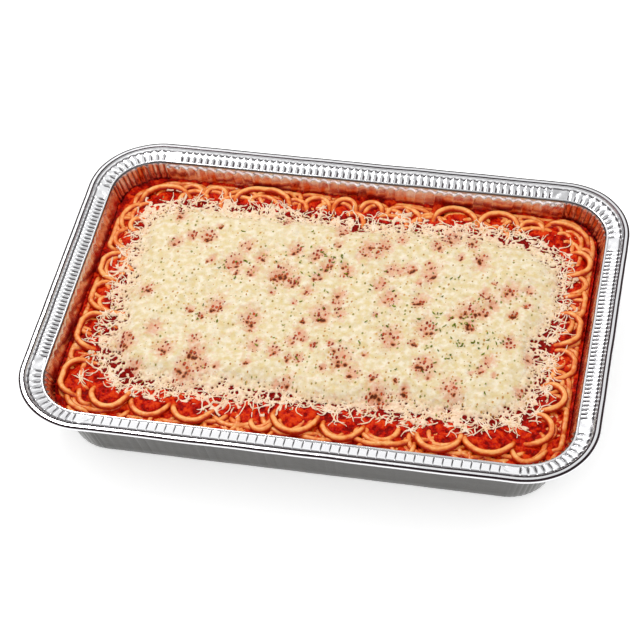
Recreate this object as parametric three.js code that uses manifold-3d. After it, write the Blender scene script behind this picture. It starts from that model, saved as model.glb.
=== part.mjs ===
// A foil tray meal: baked spaghetti in thick tomato sauce under melted cheese, in its oblong foil tray.
// Millimetres, +Z up. The origin is the centre of the tray's underside, and +X runs along the tray.
// Food is laid in from the bottom: a bed of spaghetti with loops of noodle round its edge, a layer of
// sauce with a tongue in each loop, and a lumpy cheese crust with herb flakes.
import * as THREE from "three";
import { mergeVertices } from "three/addons/utils/BufferGeometryUtils.js";
import Module from "manifold-3d";

const wasm = await Module();
wasm.setup();

// ---------- driving sizes ----------
const GAP = 0.35; // left between solids that touch
const FOIL = 0.8; // a foil wall, thickened from its real 0.1 so that the shell stays sound

const RIM = { length: 330, width: 230, radius: 42 }; // over the rolled edge
const BASE = { length: 276, width: 187, radius: 24 }; // outside, at the bottom
const HEIGHT = 46;
const MOUTH_INSET = 13.8; // from the rolled edge to the inside of the wall
const MOUTH_Z = 42.6; // where the wall meets the rim
const FLOOR_FILLET = 5;
const LEAST_RADIUS = 3; // the sharpest corner that an inset outline keeps

const RIB = { pitch: 4.8, cornerPitch: 4.2, relief: 0.7, inner: 12.2, outer: 5.3 }; // by inset from the edge
const SMOOTH_RUN = 9; // flange left without ribs each side of a corner
const FLUTE = { pitch: 9.6, relief: 0.45 }; // shallow flutes along the straight walls
const PLEAT = { perCorner: 10, relief: 0.7 };

const NOODLE = 4.5; // diameter
const NOODLE_SINK = 0.5; // how far a noodle sinks into the bed
const NOODLE_SIDES = 5;
const NOODLE_STEP = 6.2; // length of one step along a noodle
const CHORD_ROOM = 0.6; // a noodle's straight steps run this much inside its true curve
const NOODLE_DIVE = 2.4; // how far a noodle's ends go down into the bed
const NOODLE_PLATEAU = 1.5; // more than 1, so that a noodle keeps its full height over its middle
const BED_TOP = 29;
const SAUCE = { centreY: 7, length: 236, width: 124, radius: 18, top: 33.2 };
const TONGUE = { top: 31.5, from: 0.12, share: 0.76, points: 7, root: 4 }; // within its loop's sweep
const CRUST = { centreY: 6, length: 256, width: 146, radius: 22, bottom: 33.6, edge: 0.9, top: 37.2 };
const CRUST_RAGGED = 3.4; // how far the crust's outline wanders in and out
const CRUST_INSETS = [64, 55, 46, 37.5, 29, 20.5, 12.5]; // the rings of its lumpy top, from its middle out
const CRUST_PITCH = { middle: 9.8, shoulder: 7, edge: 5.4 }; // between points along a ring
const LUMP = { relief: 0.7, pits: 34, pitDepth: 1.3 };
const HERB = { count: 26, length: 2.4, width: 1.4, height: 1.5 };

// Loops of noodle round the edge of the bed. Each is an arc of an ellipse round (x, y), from an angle
// and through a sweep in degrees, and its middle stands up by `lift`. `sauce` marks the loops that hold
// a tongue of sauce.
const LOOPS = [
  // left end, front to back
  { x: -134.5, y: -67.6, rx: 10.2, ry: 12.7, from: 50, sweep: 256, lift: 2.4, sauce: true },
  { x: -134.6, y: -31.7, rx: 10.6, ry: 13, from: 50, sweep: 258, lift: 2.6, sauce: true },
  { x: -134.8, y: -3, rx: 10.2, ry: 10.8, from: 54, sweep: 250, lift: 1.2, sauce: true },
  { x: -134.4, y: 20, rx: 10.4, ry: 10.5, from: 54, sweep: 250, lift: 2.4, sauce: true },
  { x: -132, y: 44.5, rx: 10.4, ry: 8.6, from: 52, sweep: 256, lift: 0.8, sauce: true },
  { x: -128.6, y: 55.5, rx: 7, ry: 6, from: 60, sweep: 230, lift: 1.8 },
  { x: -127.6, y: 61, rx: 14.6, ry: 14.5, from: 104, sweep: 122, lift: 1.2 },
  { x: -137, y: -50, rx: 8, ry: 5.5, from: 96, sweep: 170, lift: 0.4 },
  // back, left to right
  { x: -118, y: 73, rx: 17.5, ry: 17, from: 34, sweep: 142, lift: 2.6, sauce: true },
  { x: -105, y: 87, rx: 7, ry: 7, from: -10, sweep: 210, lift: 0.6 },
  { x: -89.5, y: 85.4, rx: 7, ry: 8, from: -22, sweep: 224, lift: 1.6, sauce: true },
  { x: -60, y: 84, rx: 17, ry: 12, from: -20, sweep: 222, lift: 2.6, sauce: true },
  { x: -60, y: 83, rx: 10, ry: 7.6, from: -14, sweep: 204, lift: 0.8 },
  { x: -26, y: 85.5, rx: 8, ry: 8.6, from: -16, sweep: 212, lift: 1.2, sauce: true },
  { x: -9, y: 84.8, rx: 7, ry: 9.6, from: -16, sweep: 212, lift: 2.2, sauce: true },
  { x: 7.5, y: 86.4, rx: 6.6, ry: 8.2, from: -18, sweep: 214, lift: 1.4, sauce: true },
  { x: 31, y: 88, rx: 14, ry: 6.6, from: 20, sweep: 140, lift: 0.2 },
  { x: 59, y: 84.5, rx: 13, ry: 11.2, from: -20, sweep: 218, lift: 2.4, sauce: true },
  { x: 85.5, y: 83.6, rx: 11.8, ry: 11.6, from: -18, sweep: 216, lift: 2.6, sauce: true },
  { x: 105.6, y: 83.5, rx: 7.6, ry: 8.4, from: -14, sweep: 206, lift: 1.2 },
  { x: 119, y: 75, rx: 22, ry: 17.4, from: 2, sweep: 110, lift: 2.2, sauce: true },
  // right end, back to front
  { x: 132.6, y: 60.5, rx: 11.4, ry: 9.5, from: -124, sweep: 246, lift: 2.4, sauce: true },
  { x: 135.5, y: 44.5, rx: 7.6, ry: 6.6, from: -116, sweep: 228, lift: 1.0 },
  { x: 138, y: 30, rx: 6.4, ry: 13, from: -80, sweep: 160, lift: 0.6 },
  { x: 133.4, y: 9, rx: 11.4, ry: 12, from: -124, sweep: 248, lift: 2.6, sauce: true },
  { x: 133.4, y: -17.5, rx: 11.2, ry: 11, from: -124, sweep: 246, lift: 1.0, sauce: true },
  { x: 130.4, y: -43, rx: 11.2, ry: 9.8, from: -124, sweep: 244, lift: 2.6, sauce: true },
  { x: 127, y: -66.6, rx: 10.4, ry: 10.8, from: -130, sweep: 250, lift: 1.8 },
  // front, left to right
  { x: -124, y: -78, rx: 14, ry: 12.6, from: 168, sweep: 118, lift: 0.6 },
  { x: -113.5, y: -74.6, rx: 10.6, ry: 13, from: 150, sweep: 240, lift: 2.8, sauce: true },
  { x: -89.5, y: -77.4, rx: 11, ry: 11.6, from: 160, sweep: 220, lift: 1.2, sauce: true },
  { x: -64, y: -78.6, rx: 11.4, ry: 11.6, from: 158, sweep: 222, lift: 2.4, sauce: true },
  { x: -39, y: -80, rx: 13.4, ry: 9, from: 178, sweep: 176, lift: 0.6 },
  { x: -23.6, y: -84, rx: 5.8, ry: 6, from: 140, sweep: 250, lift: 1.4 },
  { x: -5.5, y: -76, rx: 12.5, ry: 13.5, from: 156, sweep: 226, lift: 2.8, sauce: true },
  { x: 22, y: -78.6, rx: 11.4, ry: 11.6, from: 160, sweep: 220, lift: 2.2, sauce: true },
  { x: 47.5, y: -80, rx: 14.6, ry: 9.4, from: 176, sweep: 184, lift: 0.8, sauce: true },
  { x: 76, y: -78.6, rx: 12, ry: 11.4, from: 158, sweep: 224, lift: 2.4, sauce: true },
  { x: 104, y: -77.4, rx: 13.4, ry: 11, from: 160, sweep: 222, lift: 2.8, sauce: true },
  { x: 126, y: -78.4, rx: 9.6, ry: 12, from: 166, sweep: 210, lift: 1.2 },
  // long low bends along the front wall
  { x: -92, y: -82, rx: 34, ry: 13.6, from: 214, sweep: 112, lift: 0 },
  { x: -36, y: -82, rx: 32, ry: 13.8, from: 214, sweep: 112, lift: 0 },
  { x: 24, y: -82, rx: 36, ry: 13.8, from: 216, sweep: 108, lift: 0 },
  { x: 84, y: -82, rx: 34, ry: 13.6, from: 214, sweep: 112, lift: 0 },
];

// ---------- small helpers ----------
const rad = THREE.MathUtils.degToRad;
const lerp = THREE.MathUtils.lerp;

/** A seeded source of numbers from 0 to 1. */
function seeded(seed) {
  let state = seed >>> 0;
  return () => {
    state = (state + 0x6d2b79f5) >>> 0;
    let t = Math.imul(state ^ (state >>> 15), 1 | state);
    t = (t + Math.imul(t ^ (t >>> 7), 61 | t)) ^ t;
    return ((t ^ (t >>> 14)) >>> 0) / 4294967296;
  };
}

/** The rounded rectangle `size` with its sides moved in by `inset`. */
function inside(size, inset) {
  const length = size.length - 2 * inset;
  const width = size.width - 2 * inset;
  return { length, width, radius: Math.max(size.radius - inset, Math.min(LEAST_RADIUS, width / 2)) };
}

/** How far (x, y) lies outside a rounded rectangle; less than 0 inside it. */
function distanceOutside(size, x, y) {
  const dx = Math.abs(x) - (size.length / 2 - size.radius);
  const dy = Math.abs(y) - (size.width / 2 - size.radius);
  return Math.hypot(Math.max(dx, 0), Math.max(dy, 0)) + Math.min(Math.max(dx, dy), 0) - size.radius;
}

/**
 * Stations round a rounded rectangle, anticlockwise from the right end's front corner, with `long` spans
 * on a long side, `end` on an end and `corner` round a corner. A station holds where it lies (u, v), the
 * way it faces, its place t in the round, and whether a wave crests there. `shy` is the share of each
 * straight run that is left without stations at its two ends.
 */
function stations(long, end, corner, shy = { long: 0, end: 0 }) {
  const sides = [
    { u: 1, v: -1, du: 0, dv: 1, angle: 0, spans: end, shy: shy.end },
    { u: 1, v: 1, du: -1, dv: 0, angle: 90, spans: long, shy: shy.long },
    { u: -1, v: 1, du: 0, dv: -1, angle: 180, spans: end, shy: shy.end },
    { u: -1, v: -1, du: 1, dv: 0, angle: 270, spans: long, shy: shy.long },
  ];
  return sides.flatMap((s, side) => {
    const straight = Array.from({ length: s.spans + 1 }, (_, i) => {
      const share = lerp(s.shy, 1 - s.shy, i / s.spans);
      const place = { u: s.u + 2 * s.du * share, v: s.v + 2 * s.dv * share };
      return { ...place, angle: s.angle, t: side + 0.8 * share, crest: i % 2 === 1, corner: false };
    });
    const last = s.shy ? corner : corner - 1;
    const round = Array.from({ length: corner + 1 }, (_, i) => {
      const turn = i / corner;
      const place = { u: s.u + 2 * s.du, v: s.v + 2 * s.dv, angle: s.angle + 90 * turn };
      return { ...place, t: side + 0.8 + 0.2 * turn, crest: i % 2 === 1, corner: true };
    });
    return [...straight, ...round.slice(s.shy ? 0 : 1, last + 1)];
  });
}

/** A ring of points: the rounded rectangle `size` at height z, moved by `wave` at each station. */
function ring(list, size, z, wave = () => ({})) {
  return list.map((s) => {
    const { out = 0, up = 0 } = wave(s);
    const reach = size.radius + out;
    return {
      x: s.u * (size.length / 2 - size.radius) + reach * Math.cos(rad(s.angle)),
      y: s.v * (size.width / 2 - size.radius) + reach * Math.sin(rad(s.angle)),
      z: z + up,
      t: s.t,
    };
  });
}

/** A closed body from rings that run outwards over its top and round to its underside. */
function bodyOfRings(rings) {
  const positions = [];
  const starts = rings.map((points) => {
    const start = positions.length / 3;
    points.forEach((p) => positions.push(p.x, p.y, p.z));
    return start;
  });
  const index = [];
  const turn = (points, i) => (i < points.length ? points[i].t : 4 + points[0].t);
  rings.slice(1).forEach((b, k) => {
    const a = rings[k];
    let i = 0;
    let j = 0;
    while (i < a.length || j < b.length) {
      const onA = starts[k] + (i % a.length);
      const onB = starts[k + 1] + (j % b.length);
      const stepA = j >= b.length || (i < a.length && turn(a, i + 1) <= turn(b, j + 1));
      if (stepA) i += 1;
      else j += 1;
      index.push(onA, onB, stepA ? starts[k] + (i % a.length) : starts[k + 1] + (j % b.length));
    }
  });
  const cap = (points, start) => {
    const outline = points.map((p) => new THREE.Vector2(p.x, p.y));
    return THREE.ShapeUtils.triangulateShape(outline, []).map((face) => face.map((i) => start + i));
  };
  const top = cap(rings[0], starts[0]);
  const bottom = cap(rings.at(-1), starts.at(-1)).map((face) => face.reverse());
  index.push(...top.flat(), ...bottom.flat());
  return new THREE.BufferGeometry()
    .setAttribute("position", new THREE.Float32BufferAttribute(positions, 3))
    .setIndex(index);
}

/** A closed geometry as a solid that can be joined and cut. */
function toSolid(geometry) {
  const bare = geometry.clone();
  bare.deleteAttribute("normal");
  bare.deleteAttribute("uv");
  const merged = mergeVertices(bare, 1e-4);
  const vertProperties = merged.attributes.position.array;
  const triVerts = new Uint32Array(merged.index.array);
  return new wasm.Manifold(new wasm.Mesh({ numProp: 3, vertProperties, triVerts }));
}

/** The largest body of a solid, as a geometry. */
function toGeometry(solid) {
  const whole = solid.decompose().sort((a, b) => b.volume() - a.volume())[0];
  const mesh = whole.getMesh();
  return new THREE.BufferGeometry()
    .setAttribute("position", new THREE.Float32BufferAttribute(mesh.vertProperties, 3))
    .setIndex([...mesh.triVerts]);
}

/** One named mesh with its own finish. */
function part(name, geometry, color, roughness, metalness = 0) {
  geometry.computeVertexNormals();
  const material = new THREE.MeshStandardMaterial({ color, roughness, metalness, flatShading: true });
  const mesh = new THREE.Mesh(geometry, material);
  mesh.name = name;
  return mesh;
}

// ---------- the foil tray ----------
const MOUTH = inside(RIM, MOUTH_INSET);

/** The tray's outside at height z, between its base and its mouth. */
function wallSize(z) {
  const share = z / MOUTH_Z;
  return {
    length: lerp(BASE.length, MOUTH.length + 2 * FOIL, share),
    width: lerp(BASE.width, MOUTH.width + 2 * FOIL, share),
    radius: lerp(BASE.radius, MOUTH.radius + FOIL, share),
  };
}

/** A pressed foil tray: sloping walls, pleated corners, a ribbed flange and a rolled edge. */
function trayGeometry() {
  const longRun = RIM.length - 2 * RIM.radius;
  const endRun = RIM.width - 2 * RIM.radius;
  const spans = (run, pitch) => 2 * Math.round(run / pitch);
  const cornerRun = rad(90) * (RIM.radius - (RIB.inner + RIB.outer) / 2);
  const ribbed = stations(
    spans(longRun - 2 * SMOOTH_RUN, RIB.pitch),
    spans(endRun - 2 * SMOOTH_RUN, RIB.pitch),
    spans(cornerRun, RIB.cornerPitch),
    { long: SMOOTH_RUN / longRun, end: SMOOTH_RUN / endRun },
  );
  const fluted = stations(spans(longRun, FLUTE.pitch), spans(endRun, FLUTE.pitch), 2 * PLEAT.perCorner);
  const pleated = stations(1, 1, 2 * PLEAT.perCorner);
  const plain = stations(2, 2, 9);

  const rib = (s) => ({ up: s.crest ? RIB.relief : 0 });
  const flute = (s) => ({ out: s.crest ? (s.corner ? PLEAT.relief : FLUTE.relief) : 0 });
  const pleat = (s) => ({ out: s.crest && s.corner ? PLEAT.relief / 2 : 0 });
  const at = (inset) => inside(RIM, inset);
  const rings = [
    // the inside, from the floor up to the mouth
    ring(plain, inside(wallSize(0), FLOOR_FILLET + FOIL), FOIL),
    ring(pleated, inside(wallSize(FLOOR_FILLET), FOIL), FLOOR_FILLET, pleat),
    ring(fluted, inside(wallSize(MOUTH_Z - 1), FOIL), MOUTH_Z - 1, flute),
    ring(plain, at(MOUTH_INSET), MOUTH_Z),
    // the bead round the mouth, then the ribbed flange
    ring(plain, at(13.1), 43.5),
    ring(plain, at(12.5), 43.1),
    ring(ribbed, at(RIB.inner), 42.9, rib),
    ring(ribbed, at(RIB.outer), 44.1, rib),
    // the groove, the rolled edge and its underside
    ring(plain, at(4.7), 44.3),
    ring(plain, at(3.1), 44.9),
    ring(plain, at(2.5), 45.8),
    ring(plain, at(1.5), HEIGHT),
    ring(plain, at(0.4), 45.4),
    ring(plain, at(0), 44.4),
    ring(plain, at(0.6), 43.2),
    ring(plain, at(2.2), 43.1),
    // back under the flange and down the outside
    ring(plain, at(4.7), 43.3),
    ring(plain, at(12.2), 41.9),
    ring(fluted, wallSize(MOUTH_Z - 2), MOUTH_Z - 2, flute),
    ring(pleated, wallSize(FLOOR_FILLET), FLOOR_FILLET, pleat),
    ring(plain, inside(wallSize(1.4), 0.4), 1.4),
    ring(plain, inside(wallSize(0), FLOOR_FILLET), 0),
  ];
  return bodyOfRings(rings);
}

// ---------- the spaghetti ----------
/** The way a loop runs: down in the bed at its ends, lifted in its middle, and low under the crust. */
function loopPath(loop) {
  const length = (rad(loop.sweep) * (loop.rx + loop.ry)) / 2;
  const steps = Math.max(5, Math.round(length / NOODLE_STEP));
  const low = BED_TOP + NOODLE / 2 - NOODLE_SINK;
  const underCrust = CRUST.bottom - GAP - NOODLE / 2;
  const points = Array.from({ length: steps + 1 }, (_, i) => {
    const angle = rad(loop.from + (loop.sweep * i) / steps);
    const x = loop.x + loop.rx * Math.cos(angle);
    const y = loop.y + loop.ry * Math.sin(angle);
    const rise = Math.min(1, NOODLE_PLATEAU * Math.sin((Math.PI * i) / steps));
    const high = low - NOODLE_DIVE + (NOODLE_DIVE + loop.lift) * rise;
    const clearOfCrust = distanceOutside(CRUST, x, y - CRUST.centreY) > CRUST_RAGGED + NOODLE / 2;
    return new THREE.Vector3(x, y, clearOfCrust ? high : Math.min(high, underCrust));
  });
  return { steps, curve: new THREE.CatmullRomCurve3(points) };
}

/** A noodle of diameter `thick` along a loop. */
function noodleGeometry(loop, thick) {
  const { steps, curve } = loopPath(loop);
  const section = new THREE.Shape(
    Array.from({ length: NOODLE_SIDES }, (_, i) => {
      const angle = rad((360 * i) / NOODLE_SIDES);
      return new THREE.Vector2((thick / 2) * Math.cos(angle), (thick / 2) * Math.sin(angle));
    }),
  );
  return new THREE.ExtrudeGeometry(section, { steps, extrudePath: curve });
}

/** The bed that fills the tray, clear of its walls, with every loop fused on. */
function spaghettiSolid() {
  const around = stations(6, 4, 5);
  const clear = FOIL + GAP + 0.1;
  const rings = [
    ring(around, inside(wallSize(BED_TOP), clear + 1.6), BED_TOP),
    ring(around, inside(wallSize(BED_TOP - 2), clear), BED_TOP - 2),
    ring(around, inside(wallSize(FLOOR_FILLET), clear), FLOOR_FILLET + 1),
    ring(around, inside(wallSize(0), FLOOR_FILLET + 1.6), FOIL + GAP),
  ];
  const bed = toSolid(bodyOfRings(rings));
  return LOOPS.reduce((heap, loop) => heap.add(toSolid(noodleGeometry(loop, NOODLE))), bed);
}

// ---------- the tomato sauce ----------
/** A flat slab over a shape, from z `low` to z `high`. */
function slab(points, low, high) {
  const settings = { depth: high - low, bevelEnabled: false };
  return new THREE.ExtrudeGeometry(new THREE.Shape(points), settings).translate(0, 0, low);
}

/** The outline of the sauce inside one loop: round its hollow and back to the middle of the tray. */
function tongueOutline(loop) {
  const inset = NOODLE / 2 + GAP + CHORD_ROOM;
  const arc = Array.from({ length: TONGUE.points }, (_, i) => {
    const share = TONGUE.from + (TONGUE.share * i) / (TONGUE.points - 1);
    const angle = rad(loop.from + share * loop.sweep);
    return new THREE.Vector2(
      loop.x + (loop.rx - inset) * Math.cos(angle),
      loop.y + (loop.ry - inset) * Math.sin(angle),
    );
  });
  const halfLength = SAUCE.length / 2 - TONGUE.root;
  const halfWidth = SAUCE.width / 2 - TONGUE.root;
  const root = (p) =>
    new THREE.Vector2(
      THREE.MathUtils.clamp(p.x, -halfLength, halfLength),
      THREE.MathUtils.clamp(p.y, SAUCE.centreY - halfWidth, SAUCE.centreY + halfWidth),
    );
  return [...arc, root(arc.at(-1)), root(arc[0])];
}

/** Sauce spread over the bed, with a tongue in each loop that holds some, cut round the noodles. */
function sauceSolid() {
  const low = BED_TOP + GAP;
  const outline = ring(stations(4, 3, 4), SAUCE, 0).map((p) => new THREE.Vector2(p.x, p.y + SAUCE.centreY));
  const middle = toSolid(slab(outline, low, SAUCE.top));
  const spread = LOOPS.filter((loop) => loop.sauce).reduce(
    (all, loop) => all.add(toSolid(slab(tongueOutline(loop), low, TONGUE.top))),
    middle,
  );
  const hollow = (loop) => toSolid(noodleGeometry(loop, NOODLE + 2 * GAP));
  return LOOPS.reduce((left, loop) => left.subtract(hollow(loop)), spread);
}

// ---------- the melted cheese ----------
/** How far the crust's edge stands out at a place t in the round: long waves with short fingers on them. */
function ragged(t) {
  const turn = (2 * Math.PI * t) / 4;
  const waves = 0.4 * Math.sin(9 * turn + 1) + 0.5 * Math.sin(17 * turn + 4) + 0.7 * Math.sin(37 * turn);
  return (CRUST_RAGGED * waves) / 1.6;
}

const pitDraw = seeded(7);
const PITS = Array.from({ length: LUMP.pits }, () => ({
  x: (pitDraw() - 0.5) * (CRUST.length - 36),
  y: (pitDraw() - 0.5) * (CRUST.width - 30) + CRUST.centreY,
  wide: lerp(4.5, 7.5, pitDraw()),
}));

/** The height of the crust over (x, y), before it thins to its edge: soft lumps with sunken spots. */
function crustHeight(x, y) {
  const lumps = Math.sin(x / 9.5 + 1.7 * Math.sin(y / 17)) * Math.cos(y / 8.3 + 1.2 * Math.sin(x / 23));
  const pits = PITS.reduce((sum, p) => sum + Math.exp(-((x - p.x) ** 2 + (y - p.y) ** 2) / p.wide ** 2), 0);
  return CRUST.top + LUMP.relief * lumps - LUMP.pitDepth * Math.min(pits, 1.2);
}

/** The crust: a lumpy top in rings from its middle line out, a thin ragged edge and a flat underside. */
function crustGeometry() {
  const edgeZ = CRUST.bottom + CRUST.edge;
  const row = (inset, pitch, heightAt) => {
    const size = inside(CRUST, inset);
    const spans = (run, smallest) => Math.max(smallest, Math.round(run / pitch));
    const list = stations(
      spans(size.length - 2 * size.radius, 2),
      spans(size.width - 2 * size.radius, 1),
      spans(rad(90) * size.radius, 1),
    );
    const fade = Math.max(0, 1 - inset / 12);
    return ring(list, size, 0, (s) => ({ out: fade * ragged(s.t) })).map((p) => {
      const y = p.y + CRUST.centreY;
      return { ...p, y, z: heightAt(p.x, y) };
    });
  };
  const rings = [
    row(CRUST.width / 2 - 0.2, CRUST_PITCH.middle, () => CRUST.top),
    ...CRUST_INSETS.map((inset) => row(inset, CRUST_PITCH.middle, crustHeight)),
    row(6, CRUST_PITCH.shoulder, (x, y) => crustHeight(x, y) - 0.5),
    row(1.8, CRUST_PITCH.edge, (x, y) => lerp(edgeZ, crustHeight(x, y), 0.5)),
    row(0, CRUST_PITCH.edge, () => edgeZ),
    row(0.4, CRUST_PITCH.edge, () => CRUST.bottom),
  ];
  return bodyOfRings(rings);
}

/** The crust with herb flakes fused on. */
function cheeseSolid() {
  const draw = seeded(21);
  const flakes = Array.from({ length: HERB.count }, () => {
    const x = (draw() - 0.5) * (CRUST.length - 50);
    const y = (draw() - 0.5) * (CRUST.width - 44) + CRUST.centreY;
    const box = new THREE.BoxGeometry(HERB.length, HERB.width, HERB.height).rotateZ(draw() * Math.PI);
    return toSolid(box.translate(x, y, crustHeight(x, y)));
  });
  return flakes.reduce((crust, flake) => crust.add(flake), toSolid(crustGeometry()));
}

// ---------- the meal ----------
const meal = new THREE.Group();
meal.add(
  part("foil_tray", trayGeometry(), 0xc9ccd0, 0.28, 1),
  part("spaghetti", toGeometry(spaghettiSolid()), 0xe8873c, 0.45),
  part("tomato_sauce", toGeometry(sauceSolid()), 0xc22408, 0.35),
  part("melted_cheese", toGeometry(cheeseSolid()), 0xf0e2b6, 0.5),
);
export default meal;
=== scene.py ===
"""A foil tray meal: baked spaghetti in tomato sauce under melted cheese, in its oblong foil tray.

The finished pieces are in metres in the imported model's frame: the origin is the centre of the tray's
underside, +X runs along the tray and +Z up. Sizes inside the classes are in millimetres, and a mesh is
scaled as it is made.
"""

import logging
import math
from dataclasses import dataclass, replace
from enum import Enum

import bpy
import numpy as np
from bpy.types import Material, Node, NodeSocket, NodeTree, Object
from mathutils import Matrix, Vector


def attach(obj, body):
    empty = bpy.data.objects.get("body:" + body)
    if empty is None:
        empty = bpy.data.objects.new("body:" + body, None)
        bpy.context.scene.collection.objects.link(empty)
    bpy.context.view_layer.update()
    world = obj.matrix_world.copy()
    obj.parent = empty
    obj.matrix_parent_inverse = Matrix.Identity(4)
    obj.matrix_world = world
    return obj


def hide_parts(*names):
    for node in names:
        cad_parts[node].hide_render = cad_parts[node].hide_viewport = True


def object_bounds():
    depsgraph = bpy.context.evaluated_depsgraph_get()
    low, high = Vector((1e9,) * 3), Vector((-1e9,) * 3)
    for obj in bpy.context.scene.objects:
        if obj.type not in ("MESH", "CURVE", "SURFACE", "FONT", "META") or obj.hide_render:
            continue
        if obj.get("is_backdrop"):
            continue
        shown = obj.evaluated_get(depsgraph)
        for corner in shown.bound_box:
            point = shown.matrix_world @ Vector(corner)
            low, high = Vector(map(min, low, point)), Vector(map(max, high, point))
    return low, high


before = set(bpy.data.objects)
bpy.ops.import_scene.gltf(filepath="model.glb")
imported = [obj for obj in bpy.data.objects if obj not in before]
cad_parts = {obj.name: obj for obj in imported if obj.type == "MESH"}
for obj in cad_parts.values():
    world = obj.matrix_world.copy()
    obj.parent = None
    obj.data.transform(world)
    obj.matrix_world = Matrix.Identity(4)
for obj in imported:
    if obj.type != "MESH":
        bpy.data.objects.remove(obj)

LOG = logging.getLogger("foil_tray_meal")
CAD_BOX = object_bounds()
MM = 0.001
LEAST_CORNER = 3.0  # the radius below which an inset shape's corners don't go
Array = np.ndarray


# ---------------------------------------------------------------- shapes in plan
@dataclass(frozen=True)
class Round:
    """A rectangle with round corners, centred on (0, centre_y)."""

    length: float
    width: float
    radius: float
    centre_y: float = 0.0

    def inset(self, by: float) -> "Round":
        """The same shape, made smaller.

        Args:
            by: How far its sides move in.

        Returns:
            The smaller shape.
        """
        length, width = self.length - 2 * by, self.width - 2 * by
        radius = max(self.radius - by, min(LEAST_CORNER, width / 2))
        return replace(self, length=length, width=width, radius=radius)

    def blend(self, other: "Round", share: float) -> "Round":
        """The shape part of the way from this one to `other`."""
        pairs = zip((self.length, self.width, self.radius), (other.length, other.width, other.radius))
        return Round(*[a + (b - a) * share for a, b in pairs], centre_y=self.centre_y)

    def outside(self, x: Array, y: Array) -> Array:
        """How far each point lies outside the outline; less than 0 inside it.

        Args:
            x: The points' x.
            y: The points' y.

        Returns:
            The signed distances.
        """
        dx = np.abs(x) - (self.length / 2 - self.radius)
        dy = np.abs(y - self.centre_y) - (self.width / 2 - self.radius)
        corner = np.hypot(np.maximum(dx, 0), np.maximum(dy, 0))
        return corner + np.minimum(np.maximum(dx, dy), 0) - self.radius

    def pull_in(self, x: Array, y: Array) -> tuple[Array, Array]:
        """Moves the points that lie outside the outline straight in to it.

        Args:
            x: The points' x.
            y: The points' y.

        Returns:
            The new x and y.
        """
        half_x, half_y = self.length / 2 - self.radius, self.width / 2 - self.radius
        core_x = np.clip(x, -half_x, half_x)
        core_y = np.clip(y, self.centre_y - half_y, self.centre_y + half_y)
        keep = np.minimum(1.0, self.radius / np.maximum(np.hypot(x - core_x, y - core_y), 1e-6))
        return core_x + (x - core_x) * keep, core_y + (y - core_y) * keep


@dataclass
class Stations:
    """Places round a rounded rectangle, anticlockwise from the right end's front corner.

    `u` and `v` say which corner centre a place hangs from or between which it lies, `angle` which way it
    faces, `run` how far along its side or round its corner it is, `span` how long that stretch is, and
    `groove` how deep the flange is creased there.
    """

    u: Array
    v: Array
    angle: Array
    run: Array
    span: Array
    corner: Array
    groove: Array

    def trace(self, shape: Round, out: Array | float = 0.0) -> tuple[Array, Array]:
        """The outline's points at these places.

        Args:
            shape: The rounded rectangle.
            out: How far each point is moved outwards.

        Returns:
            The points' x and y.
        """
        reach = shape.radius + out
        x = self.u * (shape.length / 2 - shape.radius) + reach * np.cos(self.angle)
        y = self.v * (shape.width / 2 - shape.radius) + reach * np.sin(self.angle) + shape.centre_y
        return x, y


# How the four sides run: the corner centre each starts from, and half of the step to the next one.
SIDES = ((1, -1, 0, 1), (1, 1, -1, 0), (-1, 1, 0, -1), (-1, -1, 1, 0))


def gather(rows: list[tuple]) -> Stations:
    """Stations from rows of u, v, angle in degrees, run, span, corner and groove."""
    u, v, angle, run, span, corner, groove = np.array(rows, float).T
    return Stations(u, v, np.radians(angle), run, span, corner > 0.5, groove)


def even_stations(shape: Round, pitch: float) -> Stations:
    """Evenly spaced places round a shape.

    Args:
        shape: The rounded rectangle.
        pitch: About how far apart they are.

    Returns:
        The places.
    """
    rows = []
    arc = math.pi / 2 * shape.radius
    for side, (u, v, du, dv) in enumerate(SIDES):
        run = (shape.length if du else shape.width) - 2 * shape.radius
        for share in np.linspace(0, 1, max(2, round(run / pitch)), endpoint=False):
            rows.append((u + 2 * du * share, v + 2 * dv * share, 90 * side, share * run, run, 0, 0))
        for turn in np.linspace(0, 1, max(3, round(arc / pitch)), endpoint=False):
            rows.append((u + 2 * du, v + 2 * dv, 90 * (side + turn), turn * arc, arc, 1, 0))
    return gather(rows)


def smooth(x: Array | float, low: Array | float, high: Array | float) -> Array:
    """0 at `low`, 1 at `high` and a soft rise between; `high` may be the smaller one."""
    t = np.clip((x - low) / (high - low), 0, 1)
    return t * t * (3 - 2 * t)


def corners(grid: Array) -> tuple[Array, Array, Array, Array]:
    """A point grid's values at the four corners of each cell, anticlockwise."""
    return grid[:-1, :-1], grid[:-1, 1:], grid[1:, 1:], grid[1:, :-1]


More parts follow.
